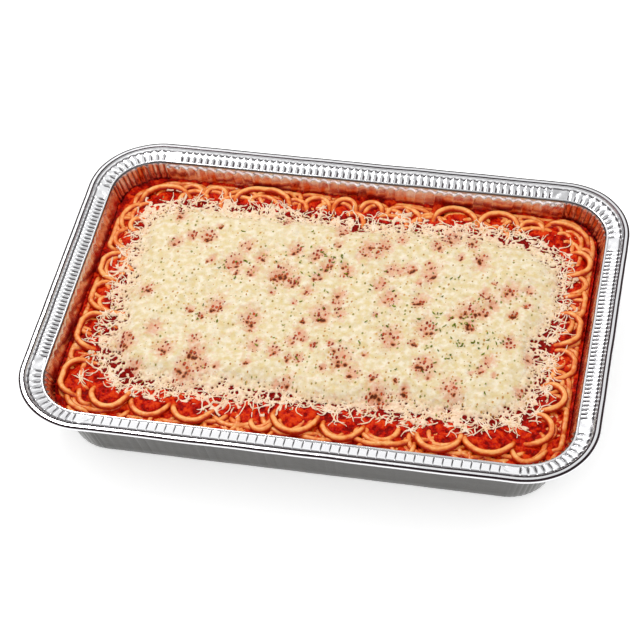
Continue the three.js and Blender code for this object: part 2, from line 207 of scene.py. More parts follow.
class Grain:
    """Repeatable noise over the plan, from one seed."""

    LATTICE = 256  # points along a side before it repeats
    SHIFT = (17.3, 5.9)  # how far each finer layer is moved, so that they don't line up
    JITTER = (0.14, 0.72)  # where in its square a cell's centre may lie: from where, and how far on

    def __init__(self, seed: int) -> None:
        """Draws the lattice of random values that all of the noise reads.

        Args:
            seed: Where the random numbers start.
        """
        draw = np.random.default_rng(seed)
        n = self.LATTICE
        self.value, self.spot = draw.random((n, n)), draw.random((n, n, 3))

    def noise(self, x: Array, y: Array, size: float, octaves: int = 1) -> Array:
        """Soft noise from -1 to 1.

        Args:
            x: The points' x.
            y: The points' y.
            size: The distance across one lump.
            octaves: How many ever finer layers there are.

        Returns:
            The noise at each point.
        """
        total, weights, weight = np.zeros(np.shape(x)), 0.0, 1.0
        for octave in range(octaves):
            px, py = x / size + self.SHIFT[0] * octave, y / size + self.SHIFT[1] * octave
            i, j = np.floor(px).astype(int), np.floor(py).astype(int)
            fx, fy = smooth(px - i, 0, 1), smooth(py - j, 0, 1)
            at = lambda a, b: self.value[(i + a) % self.LATTICE, (j + b) % self.LATTICE]
            low = at(0, 0) * (1 - fx) + at(1, 0) * fx
            high = at(0, 1) * (1 - fx) + at(1, 1) * fx
            total += weight * (2 * (low * (1 - fy) + high * fy) - 1)
            weights += weight
            size, weight = size / 2, weight / 2
        return total / weights

    def cells(self, x: Array, y: Array, size: float) -> tuple[Array, Array]:
        """Scattered cells.

        Args:
            x: The points' x.
            y: The points' y.
            size: The mean distance between cell centres.

        Returns:
            The distance to the nearest centre, and that cell's random value.
        """
        px, py = x / size, y / size
        i, j = np.floor(px).astype(int), np.floor(py).astype(int)
        nearest, mark = np.full(np.shape(x), 9.0), np.zeros(np.shape(x))
        for a in (-1, 0, 1):
            for b in (-1, 0, 1):
                spot = self.spot[(i + a) % self.LATTICE, (j + b) % self.LATTICE]
                x_off, y_off = (self.JITTER[0] + self.JITTER[1] * spot[..., k] for k in (0, 1))
                away = np.hypot(i + a + x_off - px, j + b + y_off - py)
                mark = np.where(away < nearest, spot[..., 2], mark)
                nearest = np.minimum(nearest, away)
        return nearest * size, mark


class HeightMap:
    """How high the food stands over an even grid."""

    def __init__(self, half_x: float, half_y: float, step: float) -> None:
        """Starts with a grid of zeros.

        Args:
            half_x: How far it reaches to each side of the middle in x.
            half_y: How far it does in y.
            step: The distance between its points.
        """
        self.step = step
        self.xs, self.ys = (np.arange(-half, half + step, step) for half in (half_x, half_y))
        self.z = np.zeros((len(self.ys), len(self.xs)))

    def raise_to(self, line: Array) -> None:
        """Raises the grid to the top of a round strand.

        Args:
            line: Its points, one row each: x, y, z and radius.
        """
        x, y, z, radius = line.T
        reach = int(math.ceil(radius.max() / self.step)) + 1
        column = np.round((x - self.xs[0]) / self.step).astype(int)
        row = np.round((y - self.ys[0]) / self.step).astype(int)
        for a in range(-reach, reach + 1):
            for b in range(-reach, reach + 1):
                i = np.clip(column + a, 0, len(self.xs) - 1)
                j = np.clip(row + b, 0, len(self.ys) - 1)
                away = np.hypot(self.xs[i] - x, self.ys[j] - y)
                top = np.where(away < radius, z + np.sqrt(np.maximum(radius**2 - away**2, 0)), -99)
                np.maximum.at(self.z, (j, i), top)

    def blur(self, reach: float) -> None:
        """Averages the heights over squares, twice.

        Args:
            reach: How far a square reaches to each side.
        """
        n = max(1, round(reach / self.step))
        for axis in (0, 1, 0, 1):
            pad = [(n, n) if k == axis else (0, 0) for k in (0, 1)]
            wide = np.pad(self.z, pad, mode="edge")
            self.z = np.lib.stride_tricks.sliding_window_view(wide, 2 * n + 1, axis).mean(-1)

    def at(self, x: Array, y: Array) -> Array:
        """The heights over any points, between the grid's own.

        Args:
            x: The points' x.
            y: The points' y.

        Returns:
            The heights.
        """
        # the last place that still has a grid point on its far side
        px = np.clip((x - self.xs[0]) / self.step, 0, len(self.xs) - 1.001)
        py = np.clip((y - self.ys[0]) / self.step, 0, len(self.ys) - 1.001)
        i, j = px.astype(int), py.astype(int)
        fx, fy = px - i, py - j
        low = self.z[j, i] * (1 - fx) + self.z[j, i + 1] * fx
        high = self.z[j + 1, i] * (1 - fx) + self.z[j + 1, i + 1] * fx
        return low * (1 - fy) + high * fy


# ---------------------------------------------------------------- nodes and meshes
def linear(code: str) -> tuple[float, float, float, float]:
    """An sRGB hex colour such as "#F2EACB" as linear red, green, blue and alpha."""
    parts = [int(code[i : i + 2], 16) / 255 for i in (1, 3, 5)]
    return *[c / 12.92 if c <= 0.04045 else ((c + 0.055) / 1.055) ** 2.4 for c in parts], 1.0


def feed(node: Node, key: str | int, value: object) -> None:
    """Gives one of a node's sockets what it gets.

    Args:
        node: The node.
        key: The socket's name or number.
        value: A plain value, a hex colour, a socket that feeds it or a node whose first output in use does.
    """
    if isinstance(value, Node):
        value = next(output for output in value.outputs if output.enabled)
    if isinstance(value, NodeSocket):
        node.id_data.links.new(value, node.inputs[key])
    elif isinstance(value, str) and value[0] == "#":
        node.inputs[key].default_value = linear(value)
    else:
        node.inputs[key].default_value = value


def add_node(tree: NodeTree, kind: str, inputs: dict | tuple = (), **settings: object) -> Node:
    """Adds a node with its settings and links.

    Args:
        tree: The node tree it goes in.
        kind: The node's Blender type.
        inputs: What its sockets get, in their order or by name or number.
        **settings: The node's own properties.

    Returns:
        The new node.
    """
    node = tree.nodes.new(kind)
    for name, value in settings.items():
        setattr(node, name, value)
    for key, value in inputs.items() if isinstance(inputs, dict) else enumerate(inputs):
        feed(node, key, value)
    return node


def set_stops(ramp: Node, stops: list | tuple) -> Node:
    """Gives a colour ramp its stops.

    Args:
        ramp: The colour ramp's node.
        stops: Places from 0 to 1, each with a hex colour or a brightness.

    Returns:
        The same node.
    """
    band = ramp.color_ramp.elements
    while len(band) < len(stops):
        band.new(0.5)
    for element, (place, tone) in zip(band, stops):
        element.position = place
        element.color = linear(tone) if isinstance(tone, str) else (tone, tone, tone, 1)
    return ramp


class Paint:
    """A material as it is put together: its tree, its shader and its place on the object."""

    def __init__(self, name: str, **values: object) -> None:
        """Starts a material.

        Args:
            name: Its name.
            **values: The shader's own values, by socket name with _ for a space.
        """
        self.material = bpy.data.materials.new(name)
        self.material.use_nodes = True
        self.tree = self.material.node_tree
        self.shader = self.tree.nodes["Principled BSDF"]
        self.set(**values)
        self.place = self.node("TexCoord").outputs["Object"]

    def node(self, kind: str, inputs: dict | tuple = (), **settings: object) -> Node:
        """Adds a node; `kind` is its Blender type without the "ShaderNode" that each begins with."""
        return add_node(self.tree, "ShaderNode" + kind, inputs, **settings)

    def set(self, **values: object) -> Material:
        """Gives the shader's sockets what they get.

        Args:
            **values: Socket name, with _ for a space, to its value or the node that feeds it.

        Returns:
            The material.
        """
        for key, value in values.items():
            feed(self.shader, key.replace("_", " "), value)
        return self.material


def mesh_piece(
    name: str,
    points: Array,
    faces: list,
    material: Material | None = None,
    values: dict[str, Array] | None = None,
    edges: list | tuple = (),
) -> Object:
    """A mesh object at the origin.

    Args:
        name: The piece's name.
        points: Its points in millimetres.
        faces: Its faces as lists of point numbers.
        material: Its finish.
        values: Numbers kept on its points, by name.
        edges: Its loose edges.

    Returns:
        The object.
    """
    mesh = bpy.data.meshes.new(name)
    mesh.from_pydata((np.asarray(points) * MM).tolist(), edges, faces)
    for key, numbers in (values or {}).items():
        layer = mesh.attributes.new(key, "FLOAT", "POINT")
        layer.data.foreach_set("value", np.asarray(numbers, np.float32))
    if material:
        mesh.materials.append(material)
    mesh.shade_smooth()
    piece = bpy.data.objects.new(name, mesh)
    bpy.context.scene.collection.objects.link(piece)
    return piece


def ring_piece(
    name: str, rings: list[tuple], material: Material, values: dict[str, Array] | None = None
) -> Object:
    """A closed body of rings that run outwards over its top and round to its underside.

    Args:
        name: The piece's name.
        rings: Each ring's x, y and z.
        material: Its finish.
        values: Numbers kept on the rings' points, then on the top's and the bottom's middle point, by name.

    Returns:
        The object.
    """
    points = [np.stack(ring, 1) for ring in rings]
    middles = [points[0].mean(0, keepdims=True), points[-1].mean(0, keepdims=True)]
    rows, around = len(rings), len(points[0])
    i = np.arange(around)
    j, last, starts = (i + 1) % around, (rows - 1) * around, np.arange(rows - 1) * around
    bands = [np.stack([k + i, k + around + i, k + around + j, k + j], 1) for k in starts]
    top = np.stack([np.full(around, rows * around), i, j], 1)
    bottom = np.stack([np.full(around, rows * around + 1), last + j, last + i], 1)
    faces = [face for block in (*bands, top, bottom) for face in block.tolist()]
    return mesh_piece(name, np.concatenate([*points, *middles]), faces, material, values)


def line_host(name: str, lines: list[Array]) -> Object:
    """A host of loose edges for strands.

    Args:
        name: Its name.
        lines: Strands, each with one row a point: x, y, z and radius.

    Returns:
        The host, with the radius in metres as "thick".
    """
    points = np.concatenate(lines)
    ends = np.cumsum([len(line) for line in lines]).tolist()
    edges = [(i, i + 1) for start, end in zip([0, *ends], ends) for i in range(start, end - 1)]
    return mesh_piece(name, points[:, :3], [], values={"thick": points[:, 3] * MM}, edges=edges)


class Recipe:
    """A Geometry Nodes tree with named inputs, and how it is run on a host."""

    def __init__(self, name: str, inputs: dict[str, tuple[str, object]]) -> None:
        """Starts the tree.

        Args:
            name: Its name.
            inputs: Input name to its kind and first value; each tree also gets Geometry and Finish.
        """
        self.tree = bpy.data.node_groups.new(name, "GeometryNodeTree")
        face = self.tree.interface
        every = {"Geometry": ("Geometry", None), **inputs, "Finish": ("Material", None)}
        for key, (kind, value) in every.items():
            socket = face.new_socket(key, in_out="INPUT", socket_type="NodeSocket" + kind)
            if value is not None:
                socket.default_value = value
        face.new_socket("Geometry", in_out="OUTPUT", socket_type="NodeSocketGeometry")
        self.given = {socket.name: socket for socket in self.tree.nodes.new("NodeGroupInput").outputs}

    def node(self, kind: str, inputs: dict | tuple = (), **settings: object) -> Node:
        """Adds a node to the tree."""
        return add_node(self.tree, kind, inputs, **settings)

    def close(self, geometry: Node) -> "Recipe":
        """Ends the tree: the geometry is shaded smooth, made real and given its material.

        Args:
            geometry: The node that the geometry comes from.

        Returns:
            The recipe.
        """
        soft = self.node("GeometryNodeSetShadeSmooth", (geometry,))
        real = self.node("GeometryNodeRealizeInstances", (soft,))
        dressed = self.node("GeometryNodeSetMaterial", {0: real, "Material": self.given["Finish"]})
        self.node("NodeGroupOutput", (dressed,))
        return self

    def run(self, host: Object, name: str, **values: object) -> Object:
        """Runs the tree on a host and keeps only the plain mesh that comes out.

        Args:
            host: The object it works on, which is removed.
            name: The new piece's name.
            **values: Input name, with _ for a space, to value.

        Returns:
            The plain mesh object.
        """
        modifier = host.modifiers.new(name, "NODES")
        modifier.node_group = self.tree
        keys = {i.name: i.identifier for i in self.tree.interface.items_tree if i.in_out == "INPUT"}
        for key, value in values.items():
            modifier[keys[key.replace("_", " ")]] = value
        graph = bpy.context.evaluated_depsgraph_get()
        made = host.evaluated_get(graph)
        mesh = bpy.data.meshes.new_from_object(made, preserve_all_data_layers=True, depsgraph=graph)
        mesh.name = name
        host.modifiers.remove(modifier)
        bpy.data.objects.remove(host)
        piece = bpy.data.objects.new(name, mesh)
        bpy.context.scene.collection.objects.link(piece)
        return piece


def tube_recipe() -> Recipe:
    """The tree that turns lines into round strands.

    Returns:
        The tree. Each point's "thick" is the strand's radius there in metres.
    """
    inputs = {"Sides": ("Int", 10), "Wander": ("Float", 0.0), "Wander Size": ("Float", 0.01)}
    recipe = Recipe("round strands", inputs)
    given, node = recipe.given, recipe.node
    curve = node("GeometryNodeMeshToCurve", (given["Geometry"],))
    finer = node("ShaderNodeMath", (1.0, given["Wander Size"]), operation="DIVIDE")
    noise = node("ShaderNodeTexNoise", {"Scale": finer, "Detail": 1.0}).outputs["Color"]
    centred = node("ShaderNodeVectorMath", (noise, (0.5, 0.5, 0.5)), operation="SUBTRACT")
    drift = node("ShaderNodeVectorMath", {0: centred, "Scale": given["Wander"]}, operation="SCALE")
    moved = node("GeometryNodeSetPosition", {0: curve, "Offset": drift})
    thick = node("GeometryNodeInputNamedAttribute", {"Name": "thick"}, data_type="FLOAT")
    circle = node("GeometryNodeCurvePrimitiveCircle", {"Resolution": given["Sides"], "Radius": 1.0})
    tube = {"Curve": moved, "Profile Curve": circle, "Scale": thick, "Fill Caps": True}
    return recipe.close(node("GeometryNodeCurveToMesh", tube))


def flake_recipe() -> Recipe:
    """The tree that scatters small bent flakes over a surface.

    Returns:
        The tree. The surface's "herb" value says how thickly they lie.
    """
    sizes = {"Length": 0.002, "Width": 0.0011, "Thickness": 0.0003, "Per Square Metre": 10000.0}
    inputs = {key: ("Float", value) for key, value in sizes.items()}
    recipe = Recipe("scattered flakes", {**inputs, "Seed": ("Int", 5)})
    given, node = recipe.given, recipe.node
    times, vector = {"operation": "MULTIPLY"}, {"data_type": "FLOAT_VECTOR"}
    herb = node("GeometryNodeInputNamedAttribute", {"Name": "herb"}, data_type="FLOAT")
    crowd = node("ShaderNodeMath", (herb, given["Per Square Metre"]), **times)
    ground = {"Mesh": given["Geometry"], "Density": crowd, "Seed": given["Seed"]}
    spots = node("GeometryNodeDistributePointsOnFaces", ground).outputs
    # the flake narrows and curls up towards its ends
    size = node("ShaderNodeCombineXYZ", (given["Length"], given["Width"], given["Thickness"]))
    block = node("GeometryNodeMeshCube", {"Size": size, "Vertices X": 4, "Vertices Y": 3})
    x, y, _ = node("ShaderNodeSeparateXYZ", (node("GeometryNodeInputPosition"),)).outputs
    along = node("ShaderNodeMath", (x, given["Length"]), operation="DIVIDE")
    square = node("ShaderNodeMath", (along, along), **times)
    curl = node("ShaderNodeMath", (square, given["Length"]), **times)
    taper = node("ShaderNodeMath", (node("ShaderNodeMath", (square, y), **times), -3.0), **times)
    bend = node("ShaderNodeCombineXYZ", {1: taper, 2: curl})
    leaf = node("GeometryNodeSetPosition", {0: block, "Offset": bend})
    scales = {"Min": (0.5, 0.6, 1.0), "Max": (1.4, 1.2, 1.0), "Seed": 3}
    sown = {"Points": spots[0], "Instance": leaf, "Rotation": spots["Rotation"]}
    sown["Scale"] = node("FunctionNodeRandomValue", scales, **vector)
    flakes = node("GeometryNodeInstanceOnPoints", sown)
    turns = {"Min": (-0.4, -0.4, 0.0), "Max": (0.4, 0.4, 6.28), "Seed": 4}
    turn = node("FunctionNodeRandomValue", turns, **vector)
    turned = {"Instances": flakes, "Rotation": turn, "Local Space": True}
    return recipe.close(node("GeometryNodeRotateInstances", turned))


# ---------------------------------------------------------------- finishes
@dataclass(frozen=True)
class FoilFinish:
    """Aluminium container foil, 0.1 mm, pressed in a die.

    Bright on the side that faces the food and duller on the mill side, which is painted dark grey as shade,
    with painted shade in dark lines along its folds, beads and rolled edge, soft dents between, and a warm
    film of fat in runs where the food has touched the inside, which also stands for a painted reflection of
    the food.
    """

    bright: str = "#E8E8EA"
    # the mill side's tone: its own duller grey, darkened as painted shade
    mill: str = "#6A6967"
    # painted shade: the colour of the dark lines in the creases, the pleats' valleys and along the beads and
    # rolled edge
    fold: str = "#33282B"
    # the film of fat's warm tint, which also stands for a painted reflection of the food on the inner walls
    grease: str = "#E87A44"
    roughness: float = 0.2
    patch_mm: float = 14.0
    run_mm: float = 4.0
    run_shape: tuple[float, float, float] = (1.0, 1.0, 0.12)  # drawn out downwards
    dent_mm: float = 9.0
    rolling_mm: float = 0.7  # rolling lines are far finer; this is as fine as shows
    rolling_shape: tuple[float, float, float] = (0.03, 1.0, 1.0)

    def build(self) -> Material:
        """The finish.

        Returns:
            The material; the painted shade lines, the mill side with its painted shade and the film with its
            painted reflection of the food are kept on the mesh.
        """
        paint = Paint("pressed aluminium foil", Metallic=1.0)
        node, place, times = paint.node, paint.place, {"operation": "MULTIPLY"}
        kept = ("mill", "fold", "grease")
        mill, fold, grease = (node("Attribute", attribute_name=name).outputs["Fac"] for name in kept)
        runs, rolled = (node("Mapping", {0: place, "Scale": s}) for s in (self.run_shape, self.rolling_shape))
        noises = ((place, self.patch_mm, 3), (runs, self.run_mm, 3))
        noises += ((rolled, self.rolling_mm, 2), (place, self.dent_mm, 3))
        patches, streaks, lines, dents = (
            node("TexNoise", {0: where, "Scale": 1 / (size * MM), "Detail": detail})
            for where, size, detail in noises
        )
        patches = node("MapRange", (patches, 0.3, 0.75, 0.55, 1.0))
        streaks = node("MapRange", (streaks, 0.3, 0.65, 0.3, 1.35))
        # the film in patches and downward runs, with its painted reflection of the food
        film = node("Math", (grease, node("Math", (patches, streaks), **times)), **times)
        tone = self.bright
        # painted shade on the mill side and along the dark lines, then the film of fat, which also stands for
        # a painted reflection of the food
        layers = ((mill, self.mill, "MIX"), (fold, self.fold, "MIX"), (film, self.grease, "MULTIPLY"))
        for share, over, blend in layers:
            tone = node("Mix", {0: share, 6: tone, 7: over}, data_type="RGBA", blend_type=blend)
        dented = node("Bump", {"Height": dents, "Distance": 0.7 * MM, "Strength": 0.35})
        lined = node("Bump", {"Height": lines, "Distance": 0.04 * MM, "Strength": 0.15, "Normal": dented})
        rough = node("MapRange", (lines, 0.0, 1.0, self.roughness - 0.05, self.roughness + 0.08))
        return paint.set(Base_Color=tone, Normal=lined, Roughness=rough)


@dataclass(frozen=True)
class NoodleFinish:
    """Boiled durum spaghetti under an oily coat of tomato.

    Waxy and a little see-through, pale orange where it stands clear and red where the sauce clings, and
    painted paler on its top and redder on its sides as light and shade.
    """

    high: str = "#F4AC62"
    middle: str = "#E26A16"
    low: str = "#B02000"
    low_mm: float = 28.5
    high_mm: float = 35.5
    coat_mm: float = 4.0
    bead_mm: float = 2.2

    def build(self) -> Material:
        """The finish.

        Returns:
            The material; the coat follows the height and soft patches, and painted light and shade follows
            which way the surface faces.
        """
        paint = Paint("boiled spaghetti", Roughness=0.26, Specular_IOR_Level=0.35)
        paint.set(Subsurface_Weight=0.05, Subsurface_Radius=(1.0, 0.45, 0.2), Subsurface_Scale=1.2 * MM)
        node = paint.node
        coat, beads = (
            node("TexNoise", {0: paint.place, "Scale": 1 / (size * MM), "Detail": detail})
            for size, detail in ((self.coat_mm, 3), (self.bead_mm, 2))
        )
        height = node("SeparateXYZ", (paint.place,)).outputs["Z"]
        facing = node("SeparateXYZ", (node("NewGeometry").outputs["Normal"],)).outputs["Z"]
        clear_and_lit = node("MapRange", (height, self.low_mm * MM, self.high_mm * MM, 0.05, 0.6))
        # soft patches of coat, then painted light and shade: paler where the surface faces up, redder where
        # it faces sideways
        for feed in ((coat, 0.25, 0.75, -0.4, 0.4), (facing, 0.4, 0.95, -0.6, 0.4)):
            clear_and_lit = node("Math", (clear_and_lit, node("MapRange", feed)), operation="ADD")
        tone = set_stops(node("ValToRGB", (clear_and_lit,)), ((0.0, self.low), (0.5, self.middle), (1.0, self.high)))
        relief = node("Bump", {"Height": beads, "Distance": 0.6 * MM, "Strength": 0.9})
        return paint.set(Base_Color=tone, Normal=relief)


@dataclass(frozen=True)
class SauceFinish:
    """Cooked tomato sauce with fine meat: wet, red, with paler lumps and dark pools between them."""

    pool: str = "#7C0400"
    body: str = "#BC1000"
    lump: str = "#DC3E0C"
    pulp_mm: float = 1.5

    def build(self) -> Material:
        """The finish.

        Returns:
            The material; the lumps, lowered as painted shade under the cheese's edge and towards the wall,
            are kept on the mesh, and the pulp on them is noise.
        """
        paint = Paint("cooked tomato sauce", Roughness=0.22, Specular_IOR_Level=0.04)
        node = paint.node
        pulp = node("TexNoise", {0: paint.place, "Scale": 1 / (self.pulp_mm * MM), "Detail": 3})
        lump = node("MapRange", (node("Attribute", attribute_name="lump").outputs["Fac"], 0.25, 0.75))
        lump = node("Math", (lump, node("MapRange", (pulp, 0.25, 0.75, -0.4, 0.4))), operation="ADD")
        tone = set_stops(node("ValToRGB", (lump,)), ((0.05, self.pool), (0.5, self.body), (0.95, self.lump)))
        relief = node("Bump", {"Height": pulp, "Distance": 1.0 * MM, "Strength": 1.0})
        return paint.set(Base_Color=tone, Normal=relief)


@dataclass(frozen=True)
class CheeseFinish:
    """Shredded mozzarella melted to one skin: creamy and waxy, pink and pitted where sauce shows through.

    Small red dots crowd where the mesh's "thin" is high, and at the pits open holes painted dark brown as
    shade, with golden rims.
    """

    butter: str = "#DAC590"
    cream: str = "#DFCEA7"
    white: str = "#EADEC4"
    pink: str = "#D8987A"
    # the fringe's paler tone: partly its strings' own, partly painted light against the shade there
    lace: str = "#F7DCC0"
    dots: tuple[tuple[float, str], ...] = ((0.2, "#BC4A20"), (0.9, "#842008"))
    # painted shade: the dark brown inside the pits
    pit: str = "#5E2200"
    rim: str = "#C46A34"
    specks: tuple[tuple[float, str], ...] = ((0.1, "#CCA05E"), (0.45, "#B07A3C"), (0.8, "#8A8440"))
    curd_mm: float = 3.6
    grain_mm: float = 1.4
    shade_mm: float = 2.2
    crowd_mm: float = 11.0
    dot_mm: float = 2.1
    speck_mm: float = 2.7
    spot_shape: tuple[float, float, float] = (1.0, 0.75, 1.0)  # drawn out towards the back

    def build(self, name: str) -> Material:
        """The finish.

        Args:
            name: Its name.

        Returns:
            The material; "thin" is kept on the mesh and says where the sauce shows through.
        """
        paint = Paint(name, Roughness=0.4, Specular_IOR_Level=0.12)
        paint.set(Subsurface_Weight=0.12, Subsurface_Radius=(1.0, 0.7, 0.4), Subsurface_Scale=1.0 * MM)
        node = paint.node
        kept = ("thin", "lace", "pit")
        thin, lace, pit = (node("Attribute", attribute_name=key).outputs["Fac"] for key in kept)
        noises = ((self.grain_mm, 3), (self.curd_mm, 4), (self.shade_mm, 3), (self.crowd_mm, 2))
        grain, curds, shade, crowd = (
            node("TexNoise", {0: paint.place, "Scale": 1 / (size * MM), "Detail": detail})
            for size, detail in noises
        )
        tone = node("ValToRGB", (curds,))
        set_stops(tone, ((0.34, self.butter), (0.48, self.cream), (0.64, self.white)))
        shows = node("Math", (thin, node("MapRange", (shade, 0.25, 0.75, -0.45, 0.45))), operation="ADD")
        # painted light: the fringe is paled towards the edge
        laced = node("Math", (lace, 0.8), operation="MULTIPLY")
        blush = node("MapRange", (shows, 0.15, 1.15, 0.0, 0.95))
        for share, over in ((laced, self.lace), (blush, self.pink)):
            tone = node("Mix", {0: share, 6: tone, 7: over}, data_type="RGBA")
        crowd = node("MapRange", (crowd, 0.35, 0.65, 0.45, 1.0))
        tone, _ = self._spots(paint, tone, self.speck_mm, crowd, 0.3, self.specks)
        tone, dot = self._spots(paint, tone, self.dot_mm, thin, 0.47, self.dots)
        hole = node("Math", (pit, node("MapRange", (grain, 0.2, 0.8, -0.15, 0.15))), operation="ADD")
        # a golden rim round each pit, then painted shade: dark brown inside it
        for reach, over in (((0.1, 0.45, 0.0, 0.85), self.rim), ((0.4, 0.7), self.pit)):
            tone = node("Mix", {0: node("MapRange", (hole, *reach)), 6: tone, 7: over}, data_type="RGBA")
        grained = node("Bump", {"Height": grain, "Distance": 0.4 * MM, "Strength": 0.5})
        dimples = {"Height": dot, "Distance": 0.7 * MM, "Strength": 0.8, "Normal": grained}
        return paint.set(Base_Color=tone, Normal=node("Bump", dimples, invert=True))

    def _spots(
        self, paint: Paint, under: Node, pitch: float, share: object, widest: float, tones: tuple
    ) -> tuple[Node, Node]:
        """Round spots on a colour, one at most to a cell.

        Args:
            paint: The material.
            under: The colour beneath.
            pitch: The distance between cells.
            share: From 0 to 1, how many cells have a spot and how wide they are.
            widest: The radius of the widest spot as a share of the pitch.
            tones: The stops that a spot's own colour is drawn from.

        Returns:
            The colour with its spots, and how deep in a spot a place lies.
        """
        node = paint.node
        drawn = node("Mapping", {0: paint.place, "Scale": self.spot_shape})
        cells = node("TexVoronoi", {0: drawn, "Scale": 1 / (pitch * MM)}, voronoi_dimensions="2D").outputs
        x, y, _ = node("SeparateXYZ", (cells["Color"],)).outputs
        size = node("MapRange", (node("Math", (x, share), operation="MULTIPLY"), 0.2, 0.75, 0.0, widest))
        inside = node("MapRange", (node("Math", (size, cells["Distance"]), operation="SUBTRACT"), 0.0, 0.12))
        spot = set_stops(node("ValToRGB", (y,)), tones)
        return node("Mix", {0: inside, 6: under, 7: spot}, data_type="RGBA"), inside


@dataclass(frozen=True)
class MattFinish:
    """A dry matt surface with a little mottling, such as a dried leaf or a painted studio floor."""

    name: str
    tone: str
    other: str
    patch_mm: float
    roughness: float

    def build(self) -> Material:
        """The finish.

        Returns:
            The material: two close tones in patches of the given size.
        """
        paint = Paint(self.name, Roughness=self.roughness, Specular_IOR_Level=0.1)
        patches = paint.node("TexNoise", {0: paint.place, "Scale": 1 / (self.patch_mm * MM), "Detail": 2})
        ramp = paint.node("ValToRGB", (patches,))
        return paint.set(Base_Color=set_stops(ramp, ((0.4, self.tone), (0.6, self.other))))


# ---------------------------------------------------------------- the foil tray
@dataclass(frozen=True)
class Row:
    """One row of the tray's profile: an outline at a height, and how much of each relief it takes."""

    shape: Round
    z: float
    groove: float = 0.0
    flute: float = 0.0
    pleat: float = 0.0
    # how much of the film of fat and its painted reflection of the food the row takes
    grease: float = 0.0
    # 1 on the outside: the mill side, painted darker as shade
    mill: float = 0.0
    # how much painted shade and dark reflection the row takes as a dark line
    painted_shade: float = 0.0
    # how much painted shade the flange's creases take in this row
    crease_shade: float = 1.0


